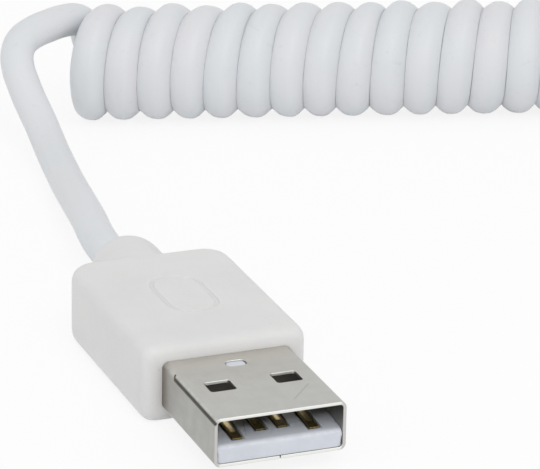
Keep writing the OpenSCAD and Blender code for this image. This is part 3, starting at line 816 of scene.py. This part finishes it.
def span(tree, value, low, high):
    """Goes smoothly from 0 at low to 1 at high."""
    feeds = {"Value": value, "From Min": low, "From Max": high}
    return add_node(tree, "MapRange", feeds, interpolation_type="SMOOTHSTEP").outputs[0]


def mix_colours(tree, share, a, b):
    feeds = {0: share, 6: a, 7: b}
    return add_node(tree, "Mix", feeds, data_type="RGBA").outputs[2]


def glaze(tree, under, mask, amount, colour):
    """Lays a colour over another one where the mask is, by this amount at most."""
    return mix_colours(tree, calc(tree, "MULTIPLY", mask, amount), under, colour)


def noise(tree, place, scale, detail=2.0):
    feeds = {"Vector": place, "Scale": scale, "Detail": detail}
    return add_node(tree, "TexNoise", feeds).outputs[0]


def rgb(red, green, blue):
    return (red, green, blue, 1)


# %% Helpers for node groups
def start_group(name, inputs, outputs):
    """A new group, with named inputs as (name, kind, value) and outputs as (name, kind)."""
    tree = bpy.data.node_groups.new(name, "ShaderNodeTree")
    for label, kind, value in inputs:
        socket = tree.interface.new_socket(
            name=label, in_out="INPUT", socket_type="NodeSocket" + kind)
        if value is not None:
            socket.default_value = value
    for label, kind in outputs:
        tree.interface.new_socket(name=label, in_out="OUTPUT", socket_type="NodeSocket" + kind)
    return tree, tree.nodes.new("NodeGroupInput").outputs, tree.nodes.new("NodeGroupOutput").inputs


def place_group(tree, group, feeds):
    return add_node(tree, "Group", feeds, node_tree=group).outputs


# %% [markdown]
# ## Shared effects
# Six effects are node groups with their own inputs, and most come back in several finishes. The
# moulded skin mixes two near colours in soft patches and gives a fine grain. The edge wear takes
# a value that is high on edges and breaks it up. Geometry's pointiness is such a value, but only
# on a dense mesh, because it is kept for each corner; a metal piece with large flat faces takes
# how far its normal turns away from the three axes instead. The drawn lines are noise that is
# stretched along the plug, as rolling leaves them. The line mark measures how far a point is
# from one straight line, for a scratch, a painted shade line or a painted highlight strip. The
# jacket's wrap turns the cord's UV map into a tube, so that a pattern has no seam. The weave
# crosses two sets of strands.

# %% Moulded skin
moulded_skin, given, result = start_group("moulded_skin", [
    ("Place", "Vector", None), ("Colour", "Color", None), ("Patch Colour", "Color", None),
    ("Patch Scale", "Float", 60.0), ("Grain Scale", "Float", 6000.0),
    ("Roughness", "Float", 0.45), ("Roughness Spread", "Float", 0.12),
], [("Colour", "Color"), ("Roughness", "Float"), ("Height", "Float")])
t = moulded_skin
patches = span(t, noise(t, given["Place"], given["Patch Scale"], 3.0), 0.36, 0.64)
t.links.new(mix_colours(t, patches, given["Colour"], given["Patch Colour"]), result["Colour"])
handled = noise(t, given["Place"], calc(t, "MULTIPLY", given["Patch Scale"], 5.0))
uneven = calc(t, "MULTIPLY_ADD", calc(t, "SUBTRACT", handled, 0.5), given["Roughness Spread"],
              given["Roughness"])
t.links.new(uneven, result["Roughness"])
t.links.new(noise(t, given["Place"], given["Grain Scale"], 2.0), result["Height"])
print("moulded_skin nodes:", len(t.nodes))

# %% Edge wear
edge_wear, given, result = start_group("edge_wear", [
    ("Place", "Vector", None), ("Edge", "Float", 0.0), ("Lowest", "Float", 0.05),
    ("Highest", "Float", 0.2), ("Break Scale", "Float", 900.0),
], [("Mask", "Float")])
t = edge_wear
edges = span(t, given["Edge"], given["Lowest"], given["Highest"])
broken = span(t, noise(t, given["Place"], given["Break Scale"], 3.0), 0.3, 0.6)
t.links.new(calc(t, "MULTIPLY", edges, broken), result["Mask"])
print("edge_wear nodes:", len(t.nodes))

# %% Drawn lines along Y
drawn_lines, given, result = start_group("drawn_lines", [
    ("Place", "Vector", None), ("Line Scale", "Float", 7000.0), ("Stretch", "Float", 0.02),
], [("Lines", "Float")])
t = drawn_lines
squash = add_node(t, "CombineXYZ", {"X": 1.0, "Y": given["Stretch"], "Z": 1.0}).outputs[0]
stretched = calc_vector(t, "MULTIPLY", given["Place"], squash)
t.links.new(noise(t, stretched, given["Line Scale"], 4.0), result["Lines"])
print("drawn_lines nodes:", len(t.nodes))

# %% One straight mark from point to point
line_mark, given, result = start_group("line_mark", [
    ("Place", "Vector", None), ("From", "Vector", None), ("To", "Vector", None),
    ("Half Width", "Float", 0.0001),
], [("Mask", "Float")])
t = line_mark
whole = calc_vector(t, "SUBTRACT", given["To"], given["From"])
part = calc_vector(t, "SUBTRACT", given["Place"], given["From"])
share = calc(t, "DIVIDE", calc_vector(t, "DOT_PRODUCT", part, whole),
             calc_vector(t, "DOT_PRODUCT", whole, whole))
held = add_node(t, "Clamp", {"Value": share}).outputs[0]
nearest = add_node(t, "VectorMath", {0: whole, "Scale": held}, operation="SCALE").outputs[0]
gap = calc_vector(t, "LENGTH", calc_vector(t, "SUBTRACT", part, nearest))
t.links.new(calc(t, "SUBTRACT", 1.0, span(t, gap, calc(t, "MULTIPLY", given["Half Width"], 0.3),
                                         given["Half Width"])), result["Mask"])
print("line_mark nodes:", len(t.nodes))

# %% The cord's UV map rolled up to a tube
jacket_wrap, given, result = start_group("jacket_wrap", [
    ("Map", "Vector", None), ("Radius", "Float", CORD_R),
], [("Place", "Vector")])
t = jacket_wrap
parts = add_node(t, "SeparateXYZ", {0: given["Map"]}).outputs
turned = calc(t, "MULTIPLY", parts["X"], 2 * math.pi)
t.links.new(add_node(t, "CombineXYZ", {
    "X": calc(t, "MULTIPLY", calc(t, "COSINE", turned), given["Radius"]),
    "Y": parts["Y"],
    "Z": calc(t, "MULTIPLY", calc(t, "SINE", turned), given["Radius"]),
}).outputs[0], result["Place"])
print("jacket_wrap nodes:", len(t.nodes))

# %% Crossed strands round the Y axis
strand_weave, given, result = start_group("strand_weave", [
    ("Place", "Vector", None), ("Strands", "Float", 16.0), ("Pitch", "Float", 0.006),
], [("Height", "Float")])
t = strand_weave
parts = add_node(t, "SeparateXYZ", {0: given["Place"]}).outputs
turned = calc(t, "DIVIDE", calc(t, "ARCTAN2", parts["X"], parts["Z"]), 2 * math.pi)
round_way = calc(t, "MULTIPLY", turned, given["Strands"])
long_way = calc(t, "MULTIPLY", calc(t, "DIVIDE", parts["Y"], given["Pitch"]), given["Strands"])
rising = calc(t, "ADD", round_way, long_way)
falling = calc(t, "SUBTRACT", round_way, long_way)
humps = [calc(t, "ABSOLUTE", calc(t, "SINE", calc(t, "MULTIPLY", way, math.pi)))
         for way in (rising, falling)]
over = span(t, calc(t, "SINE", calc(t, "MULTIPLY", long_way, math.pi)), -0.3, 0.3)
first_over = calc(t, "MULTIPLY", humps[0], over)
second_over = calc(t, "MULTIPLY", humps[1], calc(t, "SUBTRACT", 1.0, over))
t.links.new(calc(t, "MAXIMUM", first_over, second_over), result["Height"])
print("strand_weave nodes:", len(t.nodes))

# %% The shared effects that most finishes take
def moulded(tree, place, colour, patch_colour, patch_scale, grain_scale, roughness, spread):
    return place_group(tree, moulded_skin, {
        "Place": place, "Colour": colour, "Patch Colour": patch_colour,
        "Patch Scale": patch_scale, "Grain Scale": grain_scale, "Roughness": roughness,
        "Roughness Spread": spread,
    })


def drawn(tree, place, scale, **others):
    feeds = {"Place": place, "Line Scale": scale, **others}
    return place_group(tree, drawn_lines, feeds)["Lines"]


def wear(tree, place, edge, break_scale, **others):
    feeds = {"Place": place, "Edge": edge, "Break Scale": break_scale, **others}
    return place_group(tree, edge_wear, feeds)["Mask"]


# %% Starting and giving out a finish
FROM_A = (0, 0, 0)
FROM_B = (0, 0, math.radians(90))


def start_finish(name, turn=FROM_A, centre=(0, 0, 0)):
    """A new material, its tree, its main shader and its place, turned to the plug's own Y."""
    material = bpy.data.materials.new(name)
    material.use_nodes = True
    tree = material.node_tree
    place = add_node(tree, "TexCoord").outputs["Object"]
    if turn != FROM_A or any(centre):
        moved = calc_vector(tree, "SUBTRACT", place, tuple(centre))
        place = add_node(tree, "Mapping", {"Vector": moved, "Rotation": turn}).outputs[0]
    return material, tree, tree.nodes["Principled BSDF"].inputs, place


def facing(tree, turn):
    """How squarely the surface faces each way of the plug, as (across, along, up)."""
    normal = add_node(tree, "TexCoord").outputs["Normal"]
    normal = add_node(tree, "Mapping", {"Vector": normal, "Rotation": turn},
                      vector_type="NORMAL").outputs[0]
    parts = add_node(tree, "SeparateXYZ", {0: normal}).outputs
    return [calc(tree, "ABSOLUTE", part) for part in parts]


def turned_away(tree, turn):
    """0 where the surface faces one way of the plug squarely, and more where it slants."""
    across, along, up = facing(tree, turn)
    squarest = calc(tree, "MAXIMUM", calc(tree, "MAXIMUM", across, along), up)
    return calc(tree, "SUBTRACT", 1.0, squarest)


def feed_shader(tree, skin, colour, roughness, height, depth, metal=False):
    """Feeds a finish into the shader, the height through a Bump node; depth is in metres."""
    tree.links.new(colour, skin["Base Color"])
    tree.links.new(roughness, skin["Roughness"])
    bump = add_node(tree, "Bump", {"Height": height, "Distance": depth, "Strength": 1.0})
    tree.links.new(bump.outputs[0], skin["Normal"])
    if metal:
        skin["Metallic"].default_value = 1


def dress(material, *pieces):
    for piece in pieces:
        if piece.material_slots:
            for slot in piece.material_slots:
                slot.material = material
        else:
            piece.data.materials.append(material)
    print(material.name, "on", ", ".join(piece.name for piece in pieces))


# %% [markdown]
# ## Soft white plastics
# The jacket and the grips are soft vinyl. The jacket is extruded, so its finish follows it: very
# fine lines along the cord, and tints that drift between a cool and a faintly pink white from
# one length to the next. The grips are moulded in a tool with a fine eroded skin and are more
# neutral. They are handled a lot, so their edges are polished, and there they are also painted a
# little lighter as a highlight.


# %% Light goes a little way into vinyl
VINYL_GLOW = 0.3
VINYL_REACH = 0.0008


def milky(skin):
    skin["Subsurface Weight"].default_value = VINYL_GLOW
    skin["Subsurface Radius"].default_value = (1, 1, 1)
    skin["Subsurface Scale"].default_value = VINYL_REACH


# %% The jacket
def jacket_finish(name, wrapped):
    material, tree, skin, place = start_finish(name)
    if wrapped:
        map_out = add_node(tree, "UVMap", uv_map="along_cord").outputs[0]
        rolled = place_group(tree, jacket_wrap, {"Map": map_out})["Place"]
        place = add_node(tree, "VectorMath", {0: rolled, "Scale": MM}, operation="SCALE").outputs[0]
    made = moulded(tree, place, rgb(0.735, 0.765, 0.785), rgb(0.755, 0.757, 0.78),
                   patch_scale=70.0, grain_scale=5200.0, roughness=0.5, spread=0.16)
    dust = span(tree, noise(tree, place, 1500.0, 4.0), 0.62, 0.78)
    greyed = glaze(tree, made["Colour"], dust, 0.35, rgb(0.62, 0.62, 0.63))
    both = calc(tree, "MULTIPLY_ADD", drawn(tree, place, 4200.0), 0.7, made["Height"])
    feed_shader(tree, skin, greyed, made["Roughness"], both, 0.000012)
    milky(skin)
    return material


dress(jacket_finish("jacket_vinyl", True), cord)
dress(jacket_finish("jacket_vinyl_end", False), nodes["usb_a_cord_end"], nodes["micro_b_cord_end"])


# %% The grips
def grip_finish(name, turn):
    material, tree, skin, place = start_finish(name, turn)
    made = moulded(tree, place, rgb(0.73, 0.73, 0.73), rgb(0.755, 0.752, 0.748),
                   patch_scale=130.0, grain_scale=4500.0, roughness=0.42, spread=0.2)
    pointed = add_node(tree, "NewGeometry").outputs["Pointiness"]
    worn = wear(tree, place, pointed, 350.0, Lowest=0.505, Highest=0.56)
    # Painted highlight: the worn edges are painted lighter; their polish is the lower roughness
    # below.
    edges_highlighted = glaze(tree, made["Colour"], worn, 0.5, rgb(0.80, 0.80, 0.798))
    specks = span(tree, noise(tree, place, 2600.0, 5.0), 0.68, 0.76)
    darkened = glaze(tree, edges_highlighted, specks, 0.25, rgb(0.5, 0.49, 0.47))
    rough = calc(tree, "MULTIPLY_ADD", worn, -0.12, made["Roughness"])
    feed_shader(tree, skin, darkened, rough, made["Height"], 0.000018)
    milky(skin)
    return material


dress(grip_finish("grip_vinyl_a", FROM_A), grip_a)
dress(grip_finish("grip_vinyl_b", FROM_B), grip_b)

# %% [markdown]
# ## Plated metal
# The shells are rolled from nickel-plated steel strip. Nickel is a warm grey, the rolling leaves
# lines along the plug, and the plating is browner towards the grip, darkest on the sides next to
# it. Edges that slide in a socket are brighter. Some colour here is painted light: a painted
# reflection of the grip on the top next to it, painted shade on the sides and in a dark line
# along one long edge, and cut rims painted light on top and bottom and darker at the sides. One
# scratch crosses the top. A metal's colour is what it reflects, so the tints stay close to grey.

# %% The plated shells
# A painted shade line along the top-left long edge, and a real scratch across the top.
EDGE_SHADE_LINE = [(-5.96, -21.2, 5.55), (-5.96, -11.3, 5.55), (-5.8, -11, 5.78)]
SCRATCH = [(4.3, -16.7, 5.95), (1.9, -19.4, 5.95)]
GRIP_REFLECTION_L = 4 * MM
DARK_NEAR_GRIP_L = 2.2 * MM
RIM_SIDES = (5.4 * MM, 5.7 * MM)


def line_on(tree, place, start, end, half_width):
    return place_group(tree, line_mark, {
        "Place": place, "From": Vector(start) * MM, "To": Vector(end) * MM,
        "Half Width": half_width * MM,
    })["Mask"]


def plated_finish(name, turn, rear, front, marked):
    """Browner towards the grip: rear and front are the shell's ends along the plug, in metres."""
    material, tree, skin, place = start_finish(name, turn)
    lines = drawn(tree, place, 5200.0)
    parts = add_node(tree, "SeparateXYZ", {0: place}).outputs
    along = parts["Y"]
    across, along_plug, up = facing(tree, turn)
    cloud = noise(tree, place, 260.0, 4.0)
    browned = calc(tree, "MULTIPLY_ADD", span(tree, along, front, rear), 0.5, cloud)
    base = glaze(tree, rgb(0.485, 0.487, 0.465), span(tree, browned, 0.5, 1.05), 0.6,
                 rgb(0.475, 0.45, 0.41))
    lined = glaze(tree, base, span(tree, lines, 0.35, 0.7), 0.1, rgb(0.36, 0.355, 0.335))
    # Painted shade: faces that turn sideways are painted a little darker.
    sides_shaded = glaze(tree, lined, span(tree, across, 0.5, 0.9), 0.09, rgb(0.05, 0.042, 0.035))
    # Painted reflection of the grip: the top next to the grip is painted lighter.
    beside_grip = calc(tree, "MULTIPLY", span(tree, along, rear - GRIP_REFLECTION_L, rear), up)
    wipe_lines_and_grip_reflection = glaze(tree, sides_shaded, beside_grip, 0.6, rgb(0.66, 0.63, 0.58))
    # The sides are painted darker brown next to the grip.
    in_corner = calc(tree, "MULTIPLY", span(tree, along, rear - DARK_NEAR_GRIP_L, rear), across)
    darkened = glaze(tree, wipe_lines_and_grip_reflection, in_corner, 0.75, rgb(0.20, 0.145, 0.11))
    worn = wear(tree, place, turned_away(tree, turn), 1200.0)
    rubbed = glaze(tree, darkened, worn, 0.4, rgb(0.66, 0.66, 0.64))
    # Painted light on the cut rims: lighter on top and bottom as a highlight, darker at the sides
    # as shade.
    off_middle = calc(tree, "ABSOLUTE", parts["X"])
    upright = span(tree, off_middle, *RIM_SIDES) if marked else 0.5
    rim = mix_colours(tree, upright, rgb(0.86, 0.86, 0.83), rgb(0.60, 0.59, 0.57))
    colour = mix_colours(tree, span(tree, along_plug, 0.6, 0.9), rubbed, rim)
    if marked:
        # Painted shade: a dark line along the top-left long edge, with a short hook at its rear
        # end.
        edge_shade = calc(tree, "MAXIMUM", line_on(tree, place, EDGE_SHADE_LINE[0], EDGE_SHADE_LINE[1], 0.27),
                      line_on(tree, place, EDGE_SHADE_LINE[1], EDGE_SHADE_LINE[2], 0.18))
        scratch = calc(tree, "MULTIPLY", line_on(tree, place, *SCRATCH, 0.1), 0.2)
        shade_line_and_scratch = calc(tree, "MAXIMUM", calc(tree, "MULTIPLY", edge_shade, 0.95), scratch)
        colour = mix_colours(tree, shade_line_and_scratch, colour, rgb(0.05, 0.045, 0.035))
    smeared = span(tree, noise(tree, place, 700.0, 3.0), 0.3, 0.75)
    rough = calc(tree, "MULTIPLY_ADD", smeared, 0.12, 0.36)
    feed_shader(tree, skin, colour, rough, lines, 0.000002, metal=True)
    return material


dress(plated_finish("plated_steel_a", FROM_A, rear=-0.008, front=-0.021, marked=True), shell_a)
dress(plated_finish("plated_steel_b", FROM_B, rear=0.08, front=0.074, marked=False), shell_b)


# %% The sprung hooks, of bright hard steel with rubbed noses
def hook_finish():
    material, tree, skin, place = start_finish("spring_steel", FROM_B)
    lines = drawn(tree, place, 9000.0)
    worn = wear(tree, place, turned_away(tree, FROM_B), 2500.0)
    base = mix_colours(tree, span(tree, lines, 0.35, 0.65), rgb(0.50, 0.49, 0.47),
                       rgb(0.38, 0.37, 0.35))
    rubbed = mix_colours(tree, worn, base, rgb(0.74, 0.73, 0.71))
    rough = calc(tree, "MULTIPLY_ADD", lines, 0.2, 0.22)
    feed_shader(tree, skin, rubbed, rough, lines, 0.000003, metal=True)
    return material


dress(hook_finish(), *latches)


# %% The gold contacts
def contact_finish(piece, turn):
    """Gold, with a painted highlight strip along its upward face; the rest is painted dark olive as
    a reflection.
    """
    low, high = box_of(piece.bound_box)
    middle = (low + high) / 2
    if turn == FROM_A:
        front, rear, centre, width = low.y, high.y, middle.x, high.x - low.x
    else:
        front, rear, centre, width = low.x, high.x, middle.y, high.y - low.y
    material, tree, skin, place = start_finish("gold_" + piece.name)
    start = front + 1.3 * width
    lowered = DOWNHILL * (NOSE_BACK * MM - start) if turn == FROM_A else 0
    ends = [(centre, start, high.z - lowered), (centre, rear, high.z)]
    if turn == FROM_B:
        ends = [(y, x, z) for x, y, z in ends]
    # Painted highlight: a bright strip along the middle of the contact's upward face.
    bright = place_group(tree, line_mark, {
        "Place": place, "From": Vector(ends[0]), "To": Vector(ends[1]), "Half Width": 0.36 * width,
    })["Mask"]
    turned_place = add_node(tree, "Mapping", {"Vector": place, "Rotation": turn}).outputs[0]
    wipe_lines_and_grip_reflection = drawn(tree, turned_place, 12000.0)
    pitted = span(tree, noise(tree, place, 7000.0, 3.0), 0.4, 0.62)
    # Painted reflection: away from the strip the contact is a dark olive, as the shell's dark
    # inside reflected.
    side = mix_colours(tree, pitted, rgb(0.13, 0.10, 0.045), rgb(0.24, 0.19, 0.08))
    gold = mix_colours(tree, span(tree, wipe_lines_and_grip_reflection, 0.42, 0.66), rgb(0.98, 0.82, 0.48),
                       rgb(0.74, 0.55, 0.24))
    up = span(tree, facing(tree, turn)[2], 0.7, 0.96)
    shown = calc(tree, "MULTIPLY", bright, up)
    dull = calc(tree, "MULTIPLY_ADD", shown, -0.22, 0.5)
    rough = calc(tree, "MULTIPLY_ADD", wipe_lines_and_grip_reflection, 0.1, dull)
    feed_shader(tree, skin, mix_colours(tree, shown, side, gold), rough,
                calc(tree, "ADD", wipe_lines_and_grip_reflection, pitted), 0.000003, metal=True)
    return material


for contact in contacts:
    dress(contact_finish(contact, FROM_B if contact.name.startswith("small_") else FROM_A), contact)

# %% [markdown]
# ## Hard plastics inside
# The tongue that carries the contacts is a glass-filled resin. It is moulded in a polished tool,
# so it is smoother than the grip, and flow leaves faint streaks along it. The far plug's tongue
# is the same resin in black. The inner moulds are natural polyethylene, waxy and a little
# yellow, with swirls where it met the wires.


# %% The tongues
WINDOW_SHADE_START = (-0.0183, -0.0168)
WINDOW_SHADE_END = (-0.0112, -0.0107)


def tongue_finish(name, turn, colour, streak_colour, wear_colour, shaded_under_windows):
    """Streaked along the plug. The last flag paints dark shade where the shell's windows look in.
    """
    material, tree, skin, place = start_finish(name, turn)
    made = moulded(tree, place, colour, streak_colour,
                   patch_scale=420.0, grain_scale=9000.0, roughness=0.34, spread=0.14)
    streaks = span(tree, drawn(tree, place, 1800.0, Stretch=0.15), 0.4, 0.7)
    flowed = glaze(tree, made["Colour"], streaks, 0.4, streak_colour)
    worn = wear(tree, place, turned_away(tree, turn), 1500.0)
    rubbed = glaze(tree, flowed, worn, 0.5, wear_colour)
    # Painted shade: the tongue is dark in a band where it is seen through the shell's windows.
    if shaded_under_windows:
        along = add_node(tree, "SeparateXYZ", {0: place}).outputs["Y"]
        wavy = calc(tree, "MULTIPLY_ADD", noise(tree, place, 800.0), 0.0012, along)
        painted_shade = calc(tree, "SUBTRACT", span(tree, wavy, *WINDOW_SHADE_START),
                     span(tree, wavy, *WINDOW_SHADE_END))
        rubbed = mix_colours(tree, painted_shade, rubbed, rgb(0.17, 0.165, 0.155))
    feed_shader(tree, skin, rubbed, made["Roughness"], made["Height"], 0.000006)
    return material


dress(tongue_finish("tongue_resin_pale", FROM_A, rgb(0.66, 0.69, 0.75), rgb(0.62, 0.65, 0.71),
                    rgb(0.80, 0.82, 0.86), True), insulator_a)
dress(tongue_finish("tongue_resin_dark", FROM_B, rgb(0.018, 0.018, 0.02), rgb(0.03, 0.03, 0.033),
                    rgb(0.09, 0.09, 0.095), False), insulator_b)


# %% The inner moulds
def inner_mould_finish():
    material, tree, skin, place = start_finish("natural_polyethylene")
    pushed = add_node(tree, "TexWave", {
        "Vector": place, "Scale": 380.0, "Distortion": 6.0, "Detail": 3.0}).outputs[1]
    made = moulded(tree, place, rgb(0.74, 0.72, 0.64), rgb(0.66, 0.63, 0.53),
                   patch_scale=300.0, grain_scale=5000.0, roughness=0.38, spread=0.2)
    swirled = glaze(tree, made["Colour"], pushed, 0.25, rgb(0.80, 0.78, 0.71))
    feed_shader(tree, skin, swirled, made["Roughness"], made["Height"], 0.00002)
    return material


dress(inner_mould_finish(), nodes["usb_a_inner_mould"], nodes["micro_b_inner_mould"])

# %% [markdown]
# ## What is inside the grips
# Opened up, a grip holds tinned shield cans, four thin coloured wires, solder beads and a
# braid. They are hidden in use, but whoever takes the model apart sees them. Tin plate has broad
# crystals, so its colour comes from Voronoi cells. Solder is smooth and bright with small dull
# craters. Wire skins are drawn, so they take the drawn lines. The braid takes the weave, with
# each end's tube brought to the Y axis first.


# %% Tin plate
def tin_finish(name, turn):
    material, tree, skin, place = start_finish(name, turn)
    crystal = add_node(tree, "TexVoronoi", {"Vector": place, "Scale": 900.0}).outputs["Color"]
    shade = add_node(tree, "SeparateColor", {0: crystal}).outputs[0]
    base = mix_colours(tree, shade, rgb(0.58, 0.585, 0.59), rgb(0.46, 0.465, 0.475))
    lines = drawn(tree, place, 5000.0)
    scored = glaze(tree, base, span(tree, lines, 0.5, 0.75), 0.4, rgb(0.32, 0.32, 0.33))
    worn = wear(tree, place, turned_away(tree, turn), 900.0)
    rubbed = mix_colours(tree, worn, scored, rgb(0.75, 0.75, 0.76))
    rough = calc(tree, "MULTIPLY_ADD", shade, 0.18, 0.28)
    feed_shader(tree, skin, rubbed, rough, lines, 0.000005, metal=True)
    return material


for plug, turn in (("usb_a", FROM_A), ("micro_b", FROM_B)):
    dress(tin_finish("tin_plate_" + plug[-1], turn),
          nodes[plug + "_shield_upper"], nodes[plug + "_shield_lower"])


# %% Solder
def solder_finish():
    material, tree, skin, place = start_finish("solder_tin")
    craters = add_node(tree, "TexVoronoi", {"Vector": place, "Scale": 4200.0}).outputs["Distance"]
    cloud = span(tree, noise(tree, place, 2500.0, 3.0), 0.35, 0.65)
    clouded = mix_colours(tree, cloud, rgb(0.68, 0.69, 0.71), rgb(0.45, 0.455, 0.46))
    rough = calc(tree, "MULTIPLY_ADD", cloud, 0.25, 0.18)
    feed_shader(tree, skin, clouded, rough, craters, 0.000012, metal=True)
    return material


dress(solder_finish(), nodes["usb_a_solder_joints"], nodes["micro_b_solder_joints"])

# %% Wires
WIRE_COLOURS = {
    "vbus": (rgb(0.52, 0.02, 0.015), rgb(0.42, 0.015, 0.012)),
    "data_minus": (rgb(0.74, 0.74, 0.72), rgb(0.66, 0.66, 0.63)),
    "data_plus": (rgb(0.02, 0.25, 0.06), rgb(0.015, 0.19, 0.045)),
    "ground": (rgb(0.018, 0.018, 0.018), rgb(0.03, 0.03, 0.03)),
}


def wire_finish(name, turn, colour, patch_colour):
    material, tree, skin, place = start_finish(name, turn)
    made = moulded(tree, place, colour, patch_colour,
                   patch_scale=500.0, grain_scale=12000.0, roughness=0.36, spread=0.16)
    both = calc(tree, "ADD", drawn(tree, place, 8000.0), made["Height"])
    feed_shader(tree, skin, made["Colour"], made["Roughness"], both, 0.000006)
    return material


for plug, turn in (("usb_a", FROM_A), ("micro_b", FROM_B)):
    for wire, colours in WIRE_COLOURS.items():
        dress(wire_finish("wire_" + wire + "_" + plug[-1], turn, *colours),
              nodes[plug + "_wire_" + wire])


# %% Braid
def braid_finish(name, turn, node):
    low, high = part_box(node)
    material, tree, skin, place = start_finish(name, turn, (low + high) / 2)
    woven = place_group(tree, strand_weave, {"Place": place})["Height"]
    cloud = noise(tree, place, 1500.0, 3.0)
    bright = mix_colours(tree, span(tree, cloud, 0.35, 0.65), rgb(0.64, 0.58, 0.52),
                         rgb(0.50, 0.43, 0.37))
    # Painted shade: the low places between the strands are painted dark.
    strands_with_gap_shade = mix_colours(tree, span(tree, woven, 0.15, 0.6), rgb(0.10, 0.08, 0.06), bright)
    rough = calc(tree, "MULTIPLY_ADD", cloud, 0.3, 0.2)
    feed_shader(tree, skin, strands_with_gap_shade, rough, woven, 0.00008, metal=True)
    return material


dress(braid_finish("copper_braid_a", FROM_A, "usb_a_braid"), nodes["usb_a_braid"])
dress(braid_finish("copper_braid_b", FROM_B, "micro_b_braid"), nodes["micro_b_braid"])

# %% Nothing is left bare
bare = [piece.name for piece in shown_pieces() if not piece.material_slots]
print("pieces without a finish:", bare)

# %% [markdown]
# ## Floor, light and air
# A small white object is lit from all round, or its sides go grey. So most of the light is an
# even white surrounding, one large lamp above gives the forms a direction, and a weak one fills
# the left. The floor is nearly white paper. It has to look white and still hold the shadow, so a
# part of its colour is its own glow, but only for rays that come from the camera or from a
# reflection: it puts no more light on the cable.

# %% Floor
FLOOR_GLOW = 0.85
bpy.ops.object.select_all(action="DESELECT")
bpy.ops.mesh.primitive_plane_add(size=6, location=(0, 0, 0))
floor = bpy.context.object
floor.name = "floor"
floor_paper, tree, skin, place = start_finish("floor_paper")
tree.links.new(mix_colours(tree, noise(tree, place, 900.0), rgb(0.965, 0.965, 0.965),
                           rgb(0.975, 0.975, 0.975)), skin["Base Color"])
skin["Roughness"].default_value = 0.7


def seen_directly(tree):
    """1 for a ray from the camera, in a reflection or through glass."""
    rays = add_node(tree, "LightPath").outputs
    direct = calc(tree, "MAXIMUM", rays["Is Camera Ray"], rays["Is Glossy Ray"])
    return calc(tree, "MAXIMUM", direct, rays["Is Transmission Ray"])


glow = add_node(tree, "Emission", {"Strength": 1.0}).outputs[0]
shown = add_node(tree, "MixShader", {
    0: calc(tree, "MULTIPLY", seen_directly(tree), FLOOR_GLOW),
    1: tree.nodes["Principled BSDF"].outputs[0], 2: glow}).outputs[0]
tree.links.new(shown, tree.nodes["Material Output"].inputs["Surface"])
dress(floor_paper, floor)

# %% World
AIR_LIGHT = 0.7
world = bpy.data.worlds.new("studio")
bpy.context.scene.world = world
world.use_nodes = True
tree = world.node_tree
level = add_node(tree, "MapRange", {
    "Value": seen_directly(tree), "To Min": AIR_LIGHT, "To Max": 1.0}).outputs[0]
back = tree.nodes["Background"].inputs
back["Color"].default_value = rgb(1, 1, 1)
tree.links.new(level, back["Strength"])
print("light from all round:", AIR_LIGHT)


# %% Lamps
def lamp(name, place, size, power):
    light = bpy.data.lights.new(name, "AREA")
    light.shape = "DISK"
    light.size = size
    light.energy = power
    piece = put_in_scene(name, light)
    piece.location = place
    piece.rotation_euler = (-Vector(place)).to_track_quat("-Z", "Y").to_euler()
    print(name, "watts:", power)


lamp("key_lamp", place=(-0.04, -0.55, 0.65), size=0.6, power=1.95)
lamp("fill_lamp", place=(-0.6, -0.3, 0.35), size=0.5, power=0.25)
bpy.context.scene.view_settings.view_transform = "Standard"
